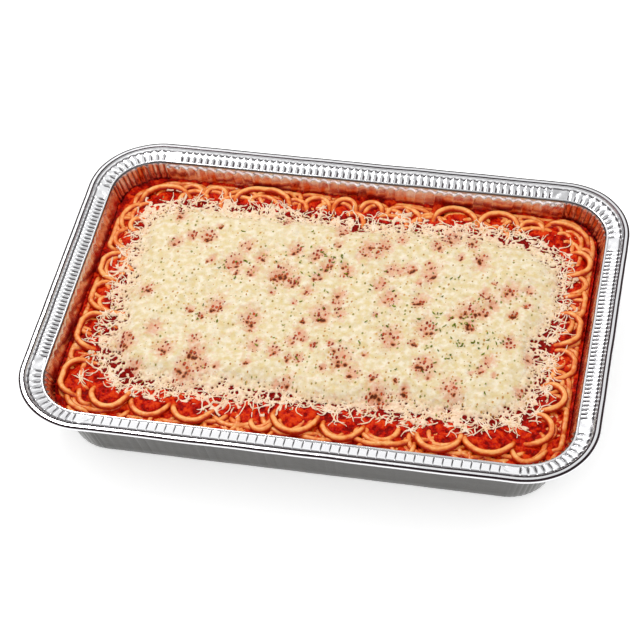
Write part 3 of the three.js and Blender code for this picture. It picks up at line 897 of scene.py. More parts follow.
@dataclass
class FoilTray:
    """The pressed foil pan: floor, sloping pleated walls, bead, creased flange, groove and rolled edge."""

    rim: Round = Round(330, 230, 42)
    base: Round = Round(276, 187, 24)
    mouth_inset: float = 13.8
    mouth_z: float = 42.6
    foil: float = 0.8
    fillet: float = 5.0
    # the flange's creases on the right end, the back, the left end and the front: their pitch and width, and
    # how high the foil bulges between them as a share of their depth; then the number, width and bulge of
    # those round a corner, and the points across one crease as shares of its width and depth
    creases: tuple[tuple[float, ...], ...] = (
        (3.05, 1.6, 0.5), (4.1, 1.9, 0.4), (3.05, 1.6, 0.5), (5.2, 0.8, 0.09),
    )  # fmt: skip
    corner_creases: int = 12
    corner_crease: tuple[float, float] = (1.3, 0.3)
    crease_shape: tuple[tuple[float, float], ...] = ((-0.5, 0.0), (-0.14, 1.0), (0.14, 1.0), (0.5, 0.0))
    crease_inset: float = 8.7
    smooth_run: float = 9.0
    groove_depth: float = 0.75
    # away from the front, the creases fade in the middle of the flange: between these insets, and by how much
    faded: tuple[float, float, float, float] = (6.0, 6.2, 8.0, 9.3)
    fade: float = 0.9
    # a slanting fold at each end of a straight run: where it starts and how far it goes along the smooth
    # foil, as shares of that, then inwards across the flange, and its width as a share
    fold_along: tuple[float, float] = (0.2, 0.6)
    fold_inwards: tuple[float, float] = (5.3, 6.5)
    fold_width: float = 0.16
    pleat_depth: float = 1.7
    pleat_own: tuple[float, float] = (0.75, 0.5)
    # how much painted shade lies in the valleys of the corner pleats on the inside
    pleat_shade: float = 0.65
    flute_pitch: float = 6.0
    flute_depth: float = 0.45
    band_z: float = 41.7
    scallop: float = 1.6
    band_step: float = 0.7
    end_share: float = 0.3
    dent: tuple[float, float] = (0.2, 16)  # how deep the walls' dents are, and how wide
    flange_dent: tuple[float, float] = (0.22, 30)
    # between which heights the film of fat, with its painted reflection of the food, grows to its full
    # strength, in the corners and elsewhere
    film_least: float = 0.4
    film_corner: tuple[float, float] = (45.0, 42.0)
    film_wall: tuple[float, float] = (41.5, 34.0)

    def wall(self, z: float) -> Round:
        """The outside of the wall at height z."""
        return self.base.blend(self.rim.inset(self.mouth_inset - self.foil), z / self.mouth_z)

    def stations(self) -> Stations:
        """Places round the tray, close together at each crease of the flange and further apart between.

        Returns:
            The places.
        """
        arc = math.pi / 2 * (self.rim.radius - self.crease_inset)
        turn = arc / self.corner_creases
        rows = []
        for side, (u, v, du, dv) in enumerate(SIDES):
            run = (self.rim.length if du else self.rim.width) - 2 * self.rim.radius
            for place, groove in self._creases(run, self.smooth_run, *self.creases[side]):
                share = place / run
                rows.append((u + 2 * du * share, v + 2 * dv * share, 90 * side, place, run, 0, groove))
            for place, groove in self._creases(arc, turn / 2, turn, *self.corner_crease):
                if 0 < place < arc:
                    rows.append((u + 2 * du, v + 2 * dv, 90 * (side + place / arc), place, arc, 1, groove))
        return gather(rows)

    def _creases(self, run: float, margin: float, pitch: float, width: float, hump: float) -> list[tuple]:
        """Places along one stretch, with how deep the crease is at each.

        Args:
            run: The stretch's length.
            margin: What stays smooth at each end.
            pitch: The distance between creases.
            width: How wide a crease is.
            hump: How high the foil bulges between creases, as a share of their depth.

        Returns:
            Pairs of place and depth, from 0 to 1.
        """
        count = round((run - 2 * margin) / pitch)
        step = (run - 2 * margin) / count
        plain = max(2, round(margin / 1.5))
        places = [(margin * i / plain, 0.0) for i in range(plain)]
        for centre in margin + step * np.arange(count + 1):
            places += [(centre + width * share, depth) for share, depth in self.crease_shape]
            if centre < run - margin - step / 2:
                places.append((centre + step / 2, -hump))
            if hump < 0.1:  # flat foil beside a crease needs its own edge
                places += [(centre + way * (width / 2 + 0.25), 0.0) for way in (-1, 1)]
        places += [(run - margin + margin * i / plain, 0.0) for i in range(1, plain + 1)]
        return [(place, depth) for place, depth in sorted(places) if 0 <= place <= run]

    def rows(self) -> list[Row]:
        """The profile, from the middle of the inside over the rim to the underside.

        Returns:
            Its rows.
        """
        at = self.rim.inset
        inner = lambda z, into=0.0: self.wall(z).inset(self.foil + into)
        rows = [Row(inner(0, self.fillet), self.foil), Row(inner(1.2, 2.4), 1.4), Row(inner(3, 0.7), 3.0)]
        for z in (12, 24, 29, 31.5, 33.5, 35.5, 37.3, 38.6, 39.4, 39.8, 40.2, 40.6, 41.0, 41.4, 41.8):
            rows.append(Row(inner(z), z, flute=min(1, z / 14), pleat=0.6 + 0.4 * z / 42, grease=1))
        # painted shade under the bead
        rows.append(Row(inner(42.1), 42.1, pleat=0.6, grease=1, painted_shade=0.5))
        # the bead round the mouth, as inset, height and how much painted shade it takes
        bead = ((13.85, 42.5, 0.9), (13.7, 43.15, 0.9), (13.5, 43.4, 0.4), (13.1, 43.55, 0), (12.6, 43.4, 0))
        rows += [Row(at(i), z, painted_shade=painted_shade) for i, z, painted_shade in (*bead, (12.35, 43.0, 0.8))]
        # the flange, as inset, how much of the creases it takes and how much painted shade they take
        rows += [Row(at(12.1), 42.95, groove=0.6), Row(at(11.8), 43.05, groove=1.0)]
        cuts = ((10.4, 1.0, 1.0), (9.2, 1.0, 1.0), (8.2, 0.8, 0.7), (7.2, 0.5, 0.5), (6.2, 0.4, 0.4))
        rows += [Row(at(i), 43.05 + (11.8 - i) * 0.19, groove=groove, crease_shade=crease_shade) for i, groove, crease_shade in cuts]
        # painted shade in the two rows beside the small bead
        rows += [Row(at(i), 44.3, groove=1.0, painted_shade=0.8) for i in (5.6, 4.85)]
        # the small bead, the groove beside it and the rolled edge, as inset, height and how much painted
        # shade they take, which stands for shade and dark reflections
        roll = ((4.65, 44.5, 0), (4.1, 44.85, 0), (3.9, 45.2, 0), (3.7, 45.65, 0.2), (3.5, 45.88, 1))
        roll += ((2.75, 45.96, 1), (2.6, 45.97, 0), (1.4, 45.96, 0), (1.27, 45.95, 1), (0.32, 45.84, 1))
        roll += ((0.15, 45.5, 1), (0.05, 45.1, 0), (0.0, 44.4, 0), (0.1, 43.95, 0.2), (0.35, 43.6, 1))
        rows += [Row(at(i), z, painted_shade=painted_shade) for i, z, painted_shade in (*roll, (1.0, 43.15, 1))]
        # back under the flange, down the outside and round to the floor, all on the mill side, which is
        # painted darker as shade
        rows += [Row(at(i), z, mill=1) for i, z in ((2.2, 43.1), (4.7, 43.2), (12.0, 41.9), (13.0, 41.5))]
        for z in (40.6, 39.2, 38.2, 36.5, 30, 22, 14, 7):
            rows.append(Row(self.wall(z), z, flute=min(0.6, z / 14), pleat=0.1 + 0.5 * z / 42, mill=1))
        for degrees in (15, 40, 65, 90):
            turn = math.radians(degrees)
            z, into = self.fillet * (1 - math.sin(turn)), self.fillet * (1 - math.cos(turn))
            rows.append(Row(self.wall(z).inset(into), z, pleat=0.1 * math.cos(turn), mill=1))
        return rows

    def build(self, grain: Grain, material: Material) -> Object:
        """The tray as one closed shell.

        Args:
            grain: The noise for its dents.
            material: Its finish.

        Returns:
            The piece.
        """
        stations, rows = self.stations(), self.rows()
        crease = np.clip(stations.groove, 0, 1)
        film = [np.where(stations.corner, *pair) for pair in zip(self.film_corner, self.film_wall)]
        rings, shade_lines, films_and_reflections = [], [], []
        for row in rows:
            out, up, cut = self._relief(stations, row, grain)
            rings.append((*stations.trace(row.shape, out), np.maximum(row.z + up, 0)))
            # painted shade: dark lines in the creases, in the corner pleats' valleys and along the beads and
            # rolled edge
            pleat_shade = self.pleat_shade * crease * stations.corner * row.grease
            shade_lines.append(np.maximum(np.maximum(crease * cut * row.crease_shade, pleat_shade), row.painted_shade))
            films_and_reflections.append(row.grease * (self.film_least + (1 - self.film_least) * smooth(row.z, *film)))
        mill = np.repeat([row.mill for row in rows], len(crease))
        marks = {"fold": np.concatenate(shade_lines), "mill": mill, "grease": np.concatenate(films_and_reflections)}
        values = {name: np.append(mark, [0, name == "mill"]) for name, mark in marks.items()}
        return ring_piece("tray_shell", rings, material, values)

    def _relief(self, stations: Stations, row: Row, grain: Grain) -> tuple[Array, Array, Array]:
        """How a row's points are pressed out of their plain places.

        Args:
            stations: The places round the tray.
            row: The row.
            grain: The noise for the dents.

        Returns:
            The distances out and up, and how much of the flange's creases is there.
        """
        x, y = stations.trace(row.shape)
        inset = (self.rim.length - row.shape.length) / 2
        straight = ~stations.corner
        # flutes along the straight walls end in a smooth band with a scalloped edge
        flutes = np.round(stations.span / self.flute_pitch)
        between = 1 - np.abs(np.sin(math.pi * stations.run / stations.span * flutes))
        below = smooth(self.band_z - self.scallop * between - row.z, -0.3, 0.6)
        ends = np.where(np.abs(np.cos(stations.angle)) > 0.9, self.end_share, 1)
        press = -below * ends * (self.band_step + self.flute_depth * between**2)
        # pleats round the corners, each its own depth
        turn = stations.run / stations.span * self.corner_creases
        least, spread = self.pleat_own
        own = least + spread * grain.noise(np.floor(turn) * 7.7 + np.floor(stations.angle), turn * 0, 1.0)
        pleat = -self.pleat_depth * own * np.sin(math.pi * turn) ** 2 * row.pleat
        out = np.where(straight, row.flute * press, pleat)
        deep, size = self.dent
        out = out + (deep * grain.noise(x + row.z, y - row.z, size, 2) if row.z > 1 else 0)
        # creases across the flange: right across in front, by its edges elsewhere
        a, b, c, d = self.faded
        middle = float(smooth(inset, a, b) * smooth(inset, d, c))
        front = smooth(-np.sin(stations.angle), 0.1, 0.8)
        cut = row.groove * (1 - self.fade * middle * (1 - front))
        # a slanting fold across the smooth foil at each end of a straight run
        margin = np.minimum(stations.run, stations.span - stations.run) / self.smooth_run
        (start, along), (edge, inwards) = self.fold_along, self.fold_inwards
        slant = np.abs(margin - start - along * (inset - edge) / inwards)
        fold = np.maximum(0, 1 - slant / self.fold_width) * min(1, row.groove)
        fold = np.where(straight & (margin < 1), fold, 0)
        up = -self.groove_depth * (cut * stations.groove + row.groove * fold)
        deep, size = self.flange_dent
        up = up + (deep * grain.noise(x, y, size, 2) if row.z > 42 and not row.mill else 0)
        return out, up, cut


# ---------------------------------------------------------------- the spaghetti
@dataclass(frozen=True)
class Loop:
    """A noodle's arc of an ellipse round (x, y), from an angle and through a sweep in degrees.

    Its middle stands up by `lift`, and `sauce` marks a loop that holds a mound of sauce.
    """

    x: float
    y: float
    rx: float
    ry: float
    start: float
    sweep: float
    lift: float
    sauce: bool = False


# The loops that stand clear, as Loop's fields: at the left end, the back, the right end and the front.
LOOPS = (
    (-134.5, -67.6, 10.2, 12.7, 50, 256, 2.4, True), (-134.6, -31.7, 10.6, 13, 50, 258, 2.6, True),
    (-134.8, -3, 10.2, 10.8, 54, 250, 1.2, True), (-134.4, 20, 10.4, 10.5, 54, 250, 2.4, True),
    (-132, 44.5, 10.4, 8.6, 52, 256, 0.8, True), (-128.6, 55.5, 7, 6, 60, 230, 1.8),
    (-127.6, 61, 14.6, 14.5, 104, 122, 1.2), (-137, -50, 8, 5.5, 96, 170, 0.4),
    (-118, 73, 17.5, 17, 34, 142, 2.6, True), (-105, 87, 7, 7, -10, 210, 0.6),
    (-89.5, 85.4, 7, 8, -22, 224, 1.6, True), (-60, 84, 17, 12, -20, 222, 2.6, True),
    (-60, 83, 10, 7.6, -14, 204, 0.8), (-26, 85.5, 8, 8.6, -16, 212, 1.2, True),
    (-9, 84.8, 7, 9.6, -16, 212, 2.2, True), (7.5, 86.4, 6.6, 8.2, -18, 214, 1.4, True),
    (31, 88, 14, 6.6, 20, 140, 0.2), (59, 84.5, 13, 11.2, -20, 218, 2.4, True),
    (85.5, 83.6, 11.8, 11.6, -18, 216, 2.6, True), (105.6, 83.5, 7.6, 8.4, -14, 206, 1.2),
    (119, 75, 22, 17.4, 2, 110, 2.2, True),
    (132.6, 60.5, 11.4, 9.5, -124, 246, 2.4, True), (135.5, 44.5, 7.6, 6.6, -116, 228, 1.0),
    (138, 30, 6.4, 13, -80, 160, 0.6), (133.4, 9, 11.4, 12, -124, 248, 2.6, True),
    (133.4, -17.5, 11.2, 11, -124, 246, 1.0, True), (130.4, -43, 11.2, 9.8, -124, 244, 2.6, True),
    (127, -66.6, 10.4, 10.8, -130, 250, 1.8),
    (-124, -78, 14, 12.6, 168, 118, 0.6), (-113.5, -74.6, 10.6, 13, 150, 240, 2.8, True),
    (-89.5, -77.4, 11, 11.6, 160, 220, 1.2, True), (-64, -78.6, 11.4, 11.6, 158, 222, 2.4, True),
    (-39, -80, 13.4, 9, 178, 176, 0.6), (-23.6, -84, 5.8, 6, 140, 250, 1.4),
    (-5.5, -76, 12.5, 13.5, 156, 226, 2.8, True), (22, -78.6, 11.4, 11.6, 160, 220, 2.2, True),
    (47.5, -80, 14.6, 9.4, 176, 184, 0.8, True), (76, -78.6, 12, 11.4, 158, 224, 2.4, True),
    (104, -77.4, 13.4, 11, 160, 222, 2.8, True), (126, -78.4, 9.6, 12, 166, 210, 1.2),
    (-92, -82, 34, 13.6, 214, 112, 0), (-36, -82, 32, 13.8, 214, 112, 0),
    (24, -82, 36, 13.8, 216, 108, 0), (84, -82, 34, 13.6, 214, 112, 0),
)  # fmt: skip


@dataclass
class Spaghetti:
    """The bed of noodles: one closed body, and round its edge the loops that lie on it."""

    tray: FoilTray
    noodle: float = 4.0
    bed_top: float = 29.0
    sink: float = 0.5
    dive: float = 2.4
    crust: Round = Round(256, 146, 22, 6)
    under_crust: float = 31.0
    wall_gap: float = 0.9
    step: float = 1.2
    low_inset: float = 17.0
    low_loops: int = 220
    seed: int = 12

    def loops(self) -> list[Loop]:
        """Every loop: those that stand clear, then low ones drawn round the edge, half sunk in sauce.

        Returns:
            The loops.
        """
        draw = np.random.default_rng(self.seed)
        shape = self.tray.wall(self.bed_top).inset(self.low_inset)
        ring = even_stations(shape, 2.0)
        loops = [Loop(*row) for row in LOOPS]
        for k in range(self.low_loops):
            place = int((k + draw.uniform(-0.3, 0.3)) / self.low_loops * len(ring.u)) % len(ring.u)
            x, y = ring.trace(shape, draw.uniform(-6, 8))
            facing = math.degrees(ring.angle[place]) + draw.uniform(-35, 35)
            sweep = draw.uniform(150, 240)
            rx, ry = draw.uniform(6, 14, 2)
            loops.append(Loop(x[place], y[place], rx, ry, facing - sweep / 2, sweep, draw.uniform(-1.6, 0.7)))
        return loops

    def path(self, loop: Loop) -> Array:
        """The way a loop runs: down in the bed at its ends, lifted in its middle, and low under the crust.

        Args:
            loop: The loop.

        Returns:
            One row a point: x, y, z and radius.
        """
        radius = self.noodle / 2
        length = math.radians(loop.sweep) * (loop.rx + loop.ry) / 2
        share = np.linspace(0, 1, max(8, round(length / self.step)))
        angle = np.radians(loop.start + loop.sweep * share)
        x, y = loop.x + loop.rx * np.cos(angle), loop.y + loop.ry * np.sin(angle)
        low = self.bed_top + radius - self.sink
        z = low - self.dive + (self.dive + loop.lift) * smooth(np.sin(math.pi * share), 0, 0.75)
        z = np.minimum(z, self.under_crust + 6 * smooth(self.crust.outside(x, y), 2, 10))
        x, y = self.tray.wall(self.bed_top).inset(self.tray.foil + self.wall_gap + radius).pull_in(x, y)
        return np.stack([x, y, z, np.full(len(x), radius)], 1)

    def bed(self, material: Material) -> Object:
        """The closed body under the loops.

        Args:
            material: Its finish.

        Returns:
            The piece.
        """
        wall = self.tray.wall
        stations = even_stations(wall(20), 6.0)
        # each ring's place on the wall, how far in from it, and its height
        rows = ((29, 40, 29.0), (29, 5, 29.0), (28, 2.6, 28.0), (24, 2.2, 24.0), (7, 2.2, 7.0), (0, 6.8, 1.2))
        level = np.ones(len(stations.u))
        rings = [(*stations.trace(wall(at).inset(into)), z * level) for at, into, z in rows]
        return ring_piece("spaghetti_bed", rings, material)


# ---------------------------------------------------------------- the tomato sauce
@dataclass
class TomatoSauce:
    """Sauce over the bed: level with the noodles by the walls, mounded in loops, deep under the cheese."""

    tray: FoilTray
    bottom: float = 29.3
    level: float = 30.9
    mound: float = 1.2
    climb: float = 1.0
    middle: float = 32.6
    deep: Round = Round(236, 124, 18, 7)
    shaded: Round = Round(252, 140, 26, 6)
    lump_mm: float = 2.5
    lump_height: float = 2.4
    wall_gap: float = 0.3
    corner_gap: float = 0.7  # room for the pleats
    step: float = 1.1

    def height(self, x: Array, y: Array, loops: list[Loop], grain: Grain) -> tuple[Array, Array]:
        """The sauce's top and how lumpy it is there.

        Args:
            x: The points' x.
            y: The points' y.
            loops: The loops, some of which hold a mound.
            grain: The noise for its lumps.

        Returns:
            The heights, and the lumps from 0 to 1.
        """
        lump = 0.5 + 0.5 * grain.noise(x + 40, y - 15, self.lump_mm, 3)
        z = self.level + self.lump_height * (lump - 0.5)
        for loop in loops:
            if loop.sauce:
                inside = 1 - ((x - loop.x) / loop.rx) ** 2 - ((y - loop.y) / loop.ry) ** 2
                z = z + self.mound * smooth(inside, 0, 0.8)
        deep = smooth(self.deep.outside(x, y), 4, -8)
        return z * (1 - deep) + self.middle * deep, lump

    def build(self, loops: list[Loop], grain: Grain, material: Material) -> Object:
        """The sauce as one closed body.

        Args:
            loops: The loops of noodle.
            grain: The noise for its lumps.
            material: Its finish.

        Returns:
            The piece.
        """
        outline = self.tray.wall(self.level).inset(self.tray.foil + self.wall_gap)
        stations = even_stations(outline, self.step)
        gap = -self.corner_gap * stations.corner
        rings, lumps = [], []
        for inset in [64, *np.arange(52, 0, -self.step), 0.0]:
            x, y = stations.trace(outline.inset(inset), gap)
            z, lump = self.height(x, y, loops, grain)
            rings.append((x, y, z + self.climb * float(smooth(inset, 2.5, 0))))
            # painted shade: the sauce is darker under the cheese's edge and towards the wall
            shade = 0.6 * smooth(self.shaded.outside(x, y), 9, -3)
            lumps.append((lump - shade) * float(smooth(inset, -8, 4)))
        rings.append((*stations.trace(outline.inset(0.6), gap), np.full(len(gap), self.bottom)))
        values = {"lump": np.concatenate([*lumps, lumps[-1], [0.5, 0.5]])}
        return ring_piece("sauce_layer", rings, material, values)


# ---------------------------------------------------------------- the melted cheese
@dataclass
class CheeseSheet:
    """The cheese: a skin over the middle, and round it a fringe that breaks up into holes and strings."""

    below: HeightMap
    grain: Grain
    solid: Round = Round(253, 142, 26, 5.4)
    bottom: float = 33.2
    top: float = 36.4
    lumps: float = 0.9
    hollow: float = 1.0
    pit_depth: float = 0.5
    least: float = 0.35
    block: int = 8
    pore_mm: float = 2.9
    gap_mm: float = 5.4
    string_mm: float = 0.4
    nets: tuple[float, ...] = (9.0, 6.5)
    # where sauce shows through: x, y and how wide
    clumps: tuple[tuple[float, float, float], ...] = (
        (-65, 30, 8), (-85, 50, 7), (-35, 25, 9), (-28, 20, 6), (-30, 45, 6), (-60, 45, 6), (12, 50, 7),
        (22, 57, 7), (60, 68, 7), (52, 38, 8), (40, 40, 6), (30, 38, 6), (80, 52, 7), (100, 30, 7),
        (32, 15, 7), (50, 15, 6), (80, 12, 8), (-5, -3, 9), (5, 0, 6), (57, -5, 8), (38, -15, 8),
        (-45, -12, 8),
        (12, -35, 9), (60, -33, 8), (79, -48, 8), (37, -56, 8), (-72, -42, 8), (-90, -42, 7), (-113, -40, 7),
        (-100, -27, 6), (-68, -5, 7), (-75, -55, 8),
    )  # fmt: skip
    small_clumps: int = 90
    stretch: float = 1.3  # the cheese was drawn towards the back as it was spread
    seed: int = 8

    def __post_init__(self) -> None:
        """Draws the smaller clumps between the main ones, and at the lower side of each the pits: dents
        painted dark as shade.
        """
        draw = np.random.default_rng(self.seed)
        spread = ((-118, 118), (-58, 70), (2.5, 6))
        small = [tuple(draw.uniform(*ends) for ends in spread) for _ in range(self.small_clumps)]
        self.patches = [*self.clumps, *small]
        self.pits = []
        for x, y, size in self.patches:
            for _ in range(int(draw.integers(0, 3)) + (size > 6.5) + (size > 8)):
                turn, reach = math.radians(draw.uniform(-150, -10)), size * draw.uniform(0.2, 0.62)
                radius = draw.uniform(0.5, 0.9) + 0.06 * size
                self.pits.append((x + reach * math.cos(turn), y + reach * math.sin(turn), radius))

    def depth(self, x: Array, y: Array) -> Array:
        """How far inside the skin's ragged edge each point lies.

        Args:
            x: The points' x.
            y: The points' y.

        Returns:
            The distances.
        """
        # the sheet is a little narrower at the back and to the left
        taper_x = x * (1 + 0.0003 * (70 - y))
        taper_y = self.solid.centre_y + (y - self.solid.centre_y) * (1 + 0.0002 * (x + 120))
        noise = self.grain.noise
        wander = 4 * noise(x, y, 26) + 3.5 * noise(x, y, 12) + 2.5 * noise(x, y, 5)
        return wander - self.solid.outside(taper_x, taper_y)

    def cover(self, x: Array, y: Array) -> Array:
        """How far each point lies from the edge of the cheese or of a hole in it; less than 0 outside.

        Args:
            x: The points' x.
            y: The points' y.

        Returns:
            The distances.
        """
        depth, noise = self.depth(x, y), self.grain.noise
        wx, wy = x + 0.9 * noise(x, y + 50, 3.5), y + 0.9 * noise(x + 50, y, 3.5)
        pore, small = self.grain.cells(wx, wy, self.pore_mm)
        gap, large = self.grain.cells(wx + 31, wy - 17, self.gap_mm)
        # small holes open first, and large ones nearer the edge
        open_up, tear = smooth(depth, 10, 2), smooth(depth, 6, -3)
        pores = pore - self.pore_mm * ((0.08 + 0.34 * small) * open_up - 0.12 * (1 - open_up))
        gaps = gap - self.gap_mm * ((0.25 + 0.32 * large) * tear - 0.2 * (1 - tear))
        net = np.minimum(np.minimum(pores, gaps), depth + 7 + 4 * noise(x, y, 4))
        # thin strings run where a noise is nearly 0, over the holes and beyond the net
        away = [size * 0.6 * np.abs(noise(x + 7 * size, y - 5 * size, size)) for size in self.nets]
        strings = np.minimum(self.string_mm - np.minimum.reduce(away), depth + 10 + 8 * noise(x, y, 6, 2))
        return np.maximum(net, strings)

    def _near(self, x: Array, y: Array, spots: list[tuple[float, float, float]], width: float) -> Array:
        """How near the points are to any of some spots.

        Args:
            x: The points' x.
            y: The points' y.
            spots: The spots' x, y and size.
            width: The share of its size over which a spot fades.

        Returns:
            1 on a spot, fading to 0 round it.
        """
        wx, wy = x + width * self.grain.noise(x + 9, y, 4), y + width * self.grain.noise(x, y + 31, 4)
        total = np.zeros(x.shape)
        for cx, cy, size in spots:
            away = (wx - cx) ** 2 + ((wy - cy) / self.stretch) ** 2
            total = np.maximum(total, np.exp(-away / (width * size) ** 2))
        return total

    def surfaces(self, x: Array, y: Array) -> tuple[Array, Array]:
        """The heights of the cheese's top and underside.

        Args:
            x: The points' x.
            y: The points' y.

        Returns:
            The two heights.
        """
        noise = self.grain.noise
        inside = smooth(self.depth(x, y), -2, 18)
        edge = smooth(self.cover(x, y), -0.2, 1.2)
        lumps = np.sin(x / 9.5 + 1.7 * np.sin(y / 17)) * np.cos(y / 8.3 + 1.2 * np.sin(x / 23))
        skin = self.top + self.lumps * lumps + 0.8 * noise(x, y, 6, 2) + 0.3 * noise(x, y, 2.4)
        for spots, deep in ((self.patches, self.hollow), (self.pits, self.pit_depth)):
            skin = skin - deep * self._near(x, y, spots, 0.8)
        food = self.below.at(x, y)
        top = (food + 0.1 + 0.9 * edge) * (1 - inside) + skin * inside
        under = (food - 0.5) * (1 - inside) + self.bottom * inside
        return top, np.minimum(under, top - self.least)

    def build(self, name: str, step: float, low: float, high: float, finish: Material) -> Object:
        """One part of the cheese as a closed body with holes right through it.

        Args:
            name: The piece's name.
            step: The distance between its points.
            low: The part begins this far inside the ragged edge.
            high: It ends this far inside it.
            finish: Its finish.

        Returns:
            The piece.
        """
        x, y = np.meshgrid(np.arange(-146, 146, step), np.arange(-94, 98, step))
        keep = self._cells(x, y, step, low, high)
        x, y = self._snapped(x, y, step, keep)
        number, shift = np.arange(x.size).reshape(x.shape), x.size
        a, b, c, d = corners(number)
        depth = self.depth(x, y)
        # where the underside is flat, one face stands for a whole square block of cells
        flat, n = corners(depth > 15), self.block
        tall, wide = keep.shape[0] // n, keep.shape[1] // n
        whole = (keep & flat[0] & flat[2])[: tall * n, : wide * n].reshape(tall, n, wide, n).all((1, 3))
        single = keep.copy()
        single[: tall * n, : wide * n] &= ~whole.repeat(n, 0).repeat(n, 1)
        k, across = np.arange(n), x.shape[1]
        ring = np.concatenate([k * across, n * across + k, (n - k) * across + n, n - k])
        j, i = np.nonzero(whole)
        faces = [np.stack([a, b, c, d], -1)[keep], np.stack([d, c, b, a], -1)[single] + shift]
        padded = np.pad(keep, 1)
        beside = (padded[:-2, 1:-1], padded[1:-1, 2:], padded[2:, 1:-1], padded[1:-1, :-2])
        for (first, second), neighbour in zip(((a, b), (b, c), (c, d), (d, a)), beside):
            faces.append(np.stack([second, first, first + shift, second + shift], -1)[keep & ~neighbour])
        faces.append(number[j * n, i * n][:, None] + ring + shift)
        used = np.unique(np.concatenate([group.ravel() for group in faces]))
        order = np.zeros(2 * shift, int)
        order[used] = np.arange(len(used))
        points = np.concatenate([np.stack([x, y, z], -1).reshape(-1, 3) for z in self.surfaces(x, y)])
        thin = 1.1 * self._near(x, y, self.patches, 0.85) + 0.3 * smooth(depth, 12, 0)
        thin = np.clip(thin + 0.12 * self.grain.noise(x, y, 12), 0, 1)
        # painted shade: how near each point is to a pit, which is painted dark
        marks = {"thin": thin, "pit": self._near(x, y, self.pits, 1.0), "lace": smooth(depth, 11, -5)}
        values = {key: np.tile(mark.ravel(), 2)[used] for key, mark in marks.items()}
        polygons = [face for group in faces for face in order[group].tolist()]
        return mesh_piece(name, points[used], polygons, finish, values)

    def _cells(self, x: Array, y: Array, step: float, low: float, high: float) -> Array:
        """Which grid cells hold cheese; cells that would meet only at a corner are joined.

        Args:
            x: The grid's x.
            y: The grid's y.
            step: The distance between its points.
            low: The part begins this far inside the ragged edge.
            high: It ends this far inside it.

        Returns:
            A mask of the cells.
        """
        middle_x, middle_y = x[:-1, :-1] + step / 2, y[:-1, :-1] + step / 2
        depth = self.depth(middle_x, middle_y)
        keep = (self.cover(middle_x, middle_y) > 0) & (depth > low) & (depth < high)
        for _ in range(3):
            a, b, c, d = corners(keep)
            rising, falling = b & d & ~a & ~c, a & c & ~b & ~d
            keep[:-1, :-1] |= rising
            keep[:-1, 1:] |= falling
        return keep

    def _snapped(self, x: Array, y: Array, step: float, keep: Array) -> tuple[Array, Array]:
        """The grid with the points on the cheese's edge moved on to it.

        Args:
            x: The grid's x.
            y: The grid's y.
            step: The distance between its points.
            keep: Which cells hold cheese.

        Returns:
            The new x and y.
        """
        touching = sum(corners(np.pad(keep, 1).astype(int)))
        edge = (touching > 0) & (touching < 4)
        cover = self.cover(x, y)
        slope_y, slope_x = np.gradient(cover, step)
        steep = slope_x**2 + slope_y**2 + 0.05
        limit = 0.45 * step
        move_x, move_y = (np.clip(-cover * slope / steep, -limit, limit) for slope in (slope_x, slope_y))
        return x + np.where(edge, move_x, 0), y + np.where(edge, move_y, 0)


class Strand(Enum):
    """The kinds of cheese thread: how short and long, how far its two turns spread, and its end radii."""

    STRING = (5, 15, (1.3, 0.7), (0.42, 0.22))
    FORK = (3, 7, (0.9, 0.4), (0.32, 0.2))
    RAY = (3, 10, (0.9, 0.4), (0.5, 0.18))


@dataclass
class CheeseThreads:
    """Threads of melted cheese that run out over the noodles: wandering strings, and stars of short rays."""

    sheet: CheeseSheet
    below: HeightMap
    string_gap: float = 2.4
    step: float = 0.8
    # the stars that stand out
    stars: tuple[tuple[float, float], ...] = (
        (-133, -68), (-112, -67), (-58, -80), (60, -77), (90, -72), (118, -64), (129, -20), (122, -46),
    )  # fmt: skip
    star_gap: float = 22.0
    seed: int = 31

    def _thread(self, start: tuple, heading: float, kind: Strand, draw: np.random.Generator) -> Array:
        """One thread draped over what lies below.

        Args:
            start: Its first x and y.
            heading: Which way it sets out, in radians.
            kind: What kind of thread it is.
            draw: Where the random numbers come from.

        Returns:
            One row a point: x, y, z and radius.
        """
        short, long, spread, (thick, thin) = kind.value
        length, turning = draw.uniform(short, long), draw.normal(0, spread)
        t = np.linspace(0, 1, max(4, round(length / self.step)))
        way = heading + turning[0] * t + turning[1] * np.sin(2 * math.pi * t)
        pace = length / (len(t) - 1)
        x = start[0] + pace * np.append(0, np.cumsum(np.cos(way[:-1])))
        y = start[1] + pace * np.append(0, np.cumsum(np.sin(way[:-1])))
        radius = thick + (thin - thick) * t
        return np.stack([x, y, self.below.at(x, y) + 0.5 * radius + 0.25, radius], 1)

    def lines(self) -> list[Array]:
        """Every thread: strings that wander out from the edge, some with a branch, then stars of rays.

        Returns:
            The threads, one row a point: x, y, z and radius.
        """
        draw = np.random.default_rng(self.seed)
        outline = self.sheet.solid
        stations = even_stations(outline, self.string_gap)
        x, y = stations.trace(outline, draw.uniform(-5, 6, len(stations.u)))
        lines = []
        for start, facing in zip(zip(x, y), stations.angle):
            heading = facing + draw.uniform(-1.3, 1.3)
            lines.append(self._thread(start, heading, Strand.STRING, draw))
            if draw.random() < 0.5:
                fork = lines[-1][len(lines[-1]) // 2]
                way = heading + draw.choice((-1, 1)) * draw.uniform(0.5, 1.2)
                lines.append(self._thread(fork[:2], way, Strand.FORK, draw))
        outline = outline.inset(-1)
        stations = even_stations(outline, self.star_gap)
        x, y = stations.trace(outline, draw.uniform(-4, 5, len(stations.u)))
        for centre in [*self.stars, *zip(x, y)]:
            turn, rays = draw.uniform(0, 2 * math.pi), int(draw.integers(6, 10))
            for k in range(rays):
                angle = turn + 2 * math.pi * (k + draw.uniform(-0.3, 0.3)) / rays
                lines.append(self._thread(centre, angle, Strand.RAY, draw))
        return lines


